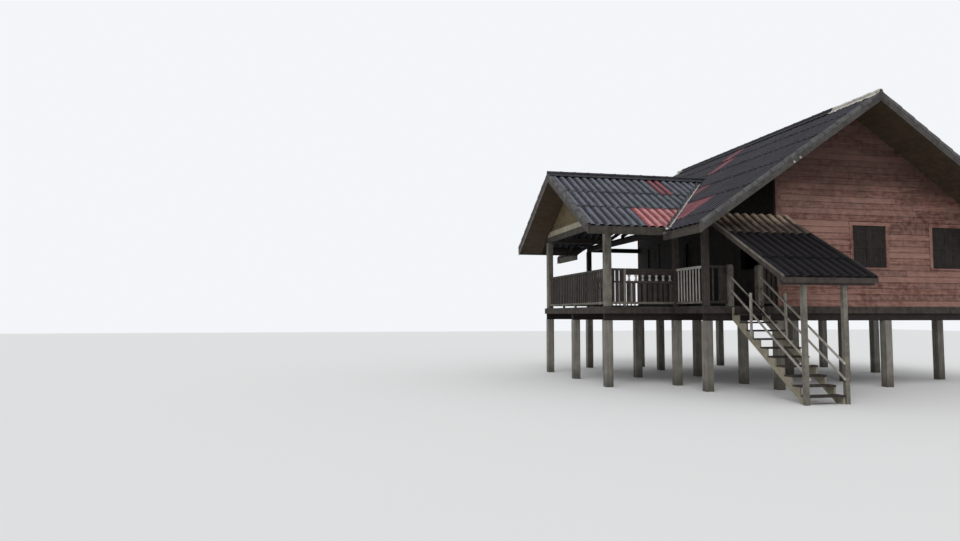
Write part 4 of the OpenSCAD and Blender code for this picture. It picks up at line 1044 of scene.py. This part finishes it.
def barge_boards():
    """Two overlapping boards up each edge of the roofs."""
    form = Form()

    def pair(foot, top, out, low_slot=0):
        out = Vector(out)
        foot, along = Vector(foot) - out * BOARD, Vector(top) - Vector(foot)
        for d0, d1, thick, slot in ((0.0, BARGE_UPPER, BOARD, 0),
                                    (BARGE_UPPER, BARGE, BOARD - 0.008, low_slot)):
            form.bar(foot - Vector((0, 0, d1)), along, out * thick, (0, 0, d1 - d0), slot)

    for side in (-1, 1):
        for end in (-1, 1):
            foot = (side * (MAIN_HALF + BOARD), end * MAIN_RAKE, MAIN_EAVE - BOARD * MAIN_RISE / MAIN_HALF)
            pair(foot, (side * 0.001, end * MAIN_RAKE, main_z(0)), (0, end, 0))
        foot = (-PORCH_RAKE, side * (PORCH_HALF + BOARD), PORCH_EAVE - BOARD * PORCH_RISE / PORCH_HALF)
        pair(foot, (-PORCH_RAKE, side * 0.001, porch_z(0)), (-1, 0, 0), 1 if side > 0 else 0)
    form.piece("edge_boards_of_roofs", [BARGE_BOARD, PALE_BOARD], ["barge_boards"], "grey_timber", 0.003)


# Railings
def slat(form, x, y, half, z0, z1, slot):
    """An upright board, side on to y, let into what is above and below it."""
    form.box(x - half, x + half, y - SLAT / 2, y + SLAT / 2, z0 - LET_IN, z1 + LET_IN, "z", slot)


def railing(form, axis, mid, a, b, width, pitch, slots):
    """Boards or balusters between two rails, from a to b along the axis.

    slots are the finishes of most boards, of the top rail, of the low rail and of the board sides at the
    narrow gaps (dark in the porch railings, as painted shade)."""
    def block(p, q, half, z0, z1, grain, slot):
        lo, hi = mid - half, mid + half
        form.box(*((lo, hi, p, q) if axis == "y" else (p, q, lo, hi)), z0, z1, grain, slot)

    block(a, b, RAIL / 2, RAIL_TOP - RAIL, RAIL_TOP, axis, slots[1])
    block(a, b, RAIL / 2, RAIL_LOW, RAIL_LOW + RAIL, axis, slots[2])
    for start, end in shares(a, b, pitch):
        s, half = (start + end) / 2, width * draw.uniform(0.97, 1.03) / 2
        face = slots[0] if draw.random() < 0.72 else slots[1]
        sides = (face, face, slots[3]) if axis == "y" else (face, slots[3], face)
        block(s - half, s + half, SLAT / 2, RAIL_LOW + RAIL - LET_IN, RAIL_TOP - RAIL + LET_IN, "z", sides)


def spindle(form, x, y, z, high, slot):
    """A small turned spindle, with a bead at each end and a waist."""
    shape = ((0.030, 0.0), (0.040, 0.012), (0.044, 0.026), (0.036, 0.040), (0.026, 0.052), (0.023, 0.080))
    form.turned((x, y, z), list(shape) + [(r, high - h) for r, h in shape[-2::-1]], 16, slot)


def porch_front_rail():
    form, end, half = Form(), PORCH_POST_Y - PORCH_POST_W / 2, RAIL / 2
    # The fourth finish, dark, is painted shade on the board sides along the gaps
    railing(form, "y", -PORCH_POST_X, -end, end, SLAT_W, SLAT_PITCH, (0, 1, 2, 3))
    form.box(-PORCH_POST_X - half, -PORCH_POST_X + half, -half, half, FLOOR, RAIL_LOW, "z", 2)
    form.piece("porch_front_rail", [BROWN_BOARD, GREY_BOARD, PALE_BOARD, DARK_BOARD],
               ["porch_front_railing"], "grey_timber", 0.003)


def porch_side_rails():
    """Close boards to a middle post, and from there a row of spindles over spaced boards."""
    form, half = Form(), RAIL / 2
    a, b = -PORCH_POST_X + PORCH_POST_W / 2, -BODY_HALF - POST_W / 2
    mid = a + (b - a) * 0.22
    for y in (-PORCH_POST_Y, PORCH_POST_Y):
        # Finish 4, dark, is painted shade on the board sides along the gaps
        railing(form, "x", y, a, mid - half, SLAT_W, SLAT_PITCH * 0.8, (0, 1, 2, 4))
        form.box(mid - half, mid + half, y - half, y + half, FLOOR, RAIL_TOP, "z", 2)
        start = mid + half
        for z0, z1, thick, slot in (
                (RAIL_TOP - RAIL, RAIL_TOP, half, 1), (ROW_TOP, BOARD_FOOT, half, 0),
                (ROW_FOOT - RAIL, ROW_FOOT, half, 0), (RAIL_LOW, RAIL_LOW + RAIL, half, 2),
                (BOARD_FOOT, RAIL_TOP - RAIL, SLAT / 2, 0)):
            form.box(start, b, y - thick, y + thick, z0, z1, "x", slot)
        for p, q in shares(start, b, SPINDLE_PITCH):
            spindle(form, (p + q) / 2, y, ROW_FOOT, ROW_TOP - ROW_FOOT, 3)
        for p, q in shares(start, b, SLAT_PITCH):
            # Their sides take finish 4, painted shade between the boards
            slat(form, (p + q) / 2, y, SLAT_W / 2, RAIL_LOW + RAIL, ROW_FOOT - RAIL, (0, 4, 0))
    form.piece("porch_side_rails", [BROWN_BOARD, GREY_BOARD, PALE_BOARD, WHITE_PAINT, DARK_BOARD],
               ["porch_side_railings"], "grey_timber", 0.003)


def veranda_rails():
    form, slots = Form(), (0, 0, 1, 0)
    out, inner = BODY_END - POST_W, PORCH_POST_Y + POST_W / 2
    for a, b in ((-out, -inner), (inner, out)):
        railing(form, "y", -BODY_HALF, a, b, BALUSTER_W, SLAT_PITCH, slots)
    railing(form, "x", BODY_END - POST_W / 2, -BODY_HALF + POST_W / 2, -ROOM_FRONT, BALUSTER_W, SLAT_PITCH,
            slots)
    form.piece("veranda_rails", [WHITE_PAINT, PALE_BOARD], ["veranda_railings"], "pale_timber", 0.003)


def stair_head_panel():
    """Railing on both sides of the stair's head: a baluster and a closed part, then spaced boards."""
    form, y, half = Form(), -NEWEL_Y, RAIL / 2
    a, b = -BODY_HALF + POST_W / 2, -STAIR_LEFT - NEWEL_W / 2
    for z in (RAIL_LOW, RAIL_TOP - RAIL):
        form.box(a, b, y - half, y + half, z, z + RAIL, "x", 1)
    start = a + (b - a) * 0.54
    quarter = (b - start) / 4
    for x, wide, slot in ((start + quarter, quarter - 0.001, 0), (b - quarter, quarter - 0.001, 0),
                          (a + (b - a) * 0.24, BALUSTER_W / 2, 1)):
        slat(form, x, y, wide, RAIL_LOW + RAIL, RAIL_TOP - RAIL, slot)
    railing(form, "x", y, -STAIR_RIGHT + NEWEL_W / 2, -ROOM_FRONT, SLAT_W, SLAT_PITCH, (0, 1, 1, 0))
    form.piece("stair_head_panel", [BROWN_BOARD, GREY_BOARD], ["stair_side_panel"], "grey_timber", 0.003)


# Small pieces
def canopy_strips():
    """A pale cover strip along the canopy's left edge."""
    form, deep, thick, reach = Form(), 0.045, 0.008, CANOPY_REACH - 0.10
    foot = (-CANOPY_LEFT - BOARD - thick, -BODY_END - CANOPY_REACH,
            CANOPY_TOP - CANOPY_FALL * CANOPY_REACH - deep)
    form.bar(foot, (0, reach, reach * CANOPY_FALL), (thick, 0, 0), (0, 0, deep))
    form.piece("canopy_strips", [PALE_BOARD], (), "pale_timber", 0.002)


def rail_post_tops():
    """The middle posts of the stair's rails go on a little over them."""
    form, half = Form(), MID_POST_W / 2
    z = FLOOR + HAND_RAIL - STAIR_FALL * (MID_POST_Y - FLOOR_END)
    for x in (-STAIR_LEFT - STRINGER_HALF - MID_POST_W, -STAIR_RIGHT + STRINGER_HALF):
        form.box(x, x + MID_POST_W, -MID_POST_Y - half, -MID_POST_Y + half, z - 0.03, z + 0.16, "z")
    form.piece("rail_post_tops", [RAIL_BOARD], (), "white_paint", 0.004)


def knobs():
    """Two small porcelain knobs left on the edge board of the near gable."""
    form = Form()
    outline = ((0.018, 0.0), (0.018, 0.010), (0.030, 0.014), (0.032, 0.026), (0.026, 0.034), (0.014, 0.038))
    for x, z in ((-2.515, 5.520), (-2.348, 5.632)):
        form.turned((x, -MAIN_RAKE + 0.006, z), outline, axis=(0, -1, 0))
    form.piece("porcelain_knobs", [WHITE_PAINT], (), "white_paint")


for build in (roofs, ridges, verges, valley_flashings, timbers, floors, red_walls, front_wall, porch_gable,
              soffits, barge_boards, porch_front_rail, porch_side_rails, veranda_rails, stair_head_panel,
              canopy_strips, rail_post_tops, knobs):
    build()

# Finishes of the CAD nodes that show as they are
for node, finish, record_slot, bevel in (
        ("stub_posts", CONCRETE, "concrete", 0.010), ("front_wall", DARK_WALL, "dark_timber", 0),
        ("back_wall", RED_WALL, "red_boards", 0), ("near_gable_wall", RED_WALL, "red_boards", 0),
        ("far_gable_wall", RED_WALL, "red_boards", 0), ("valley_gutters", ZINC, "zinc", 0),
        ("porch_purlins", PURLIN_BOARD, "dark_timber", 0)):
    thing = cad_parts[node]
    thing.data.materials.clear()
    thing.data.materials.append(finish)
    if bevel:
        soften(thing, bevel)


# Floor of the studio
def studio_floor():
    """Pale ground under the building."""
    made, _, shader = material("studio_floor")
    shader["Base Color"].default_value = (0.80, 0.80, 0.80, 1)
    shader["Roughness"].default_value = 0.95
    mesh, far = bpy.data.meshes.new("studio_floor"), 60
    mesh.from_pydata([(-far, -far, 0), (far, -far, 0), (far, far, 0), (-far, far, 0)], [], [(0, 1, 2, 3)])
    mesh.materials.append(made)
    thing = put("studio_floor", mesh)


studio_floor()
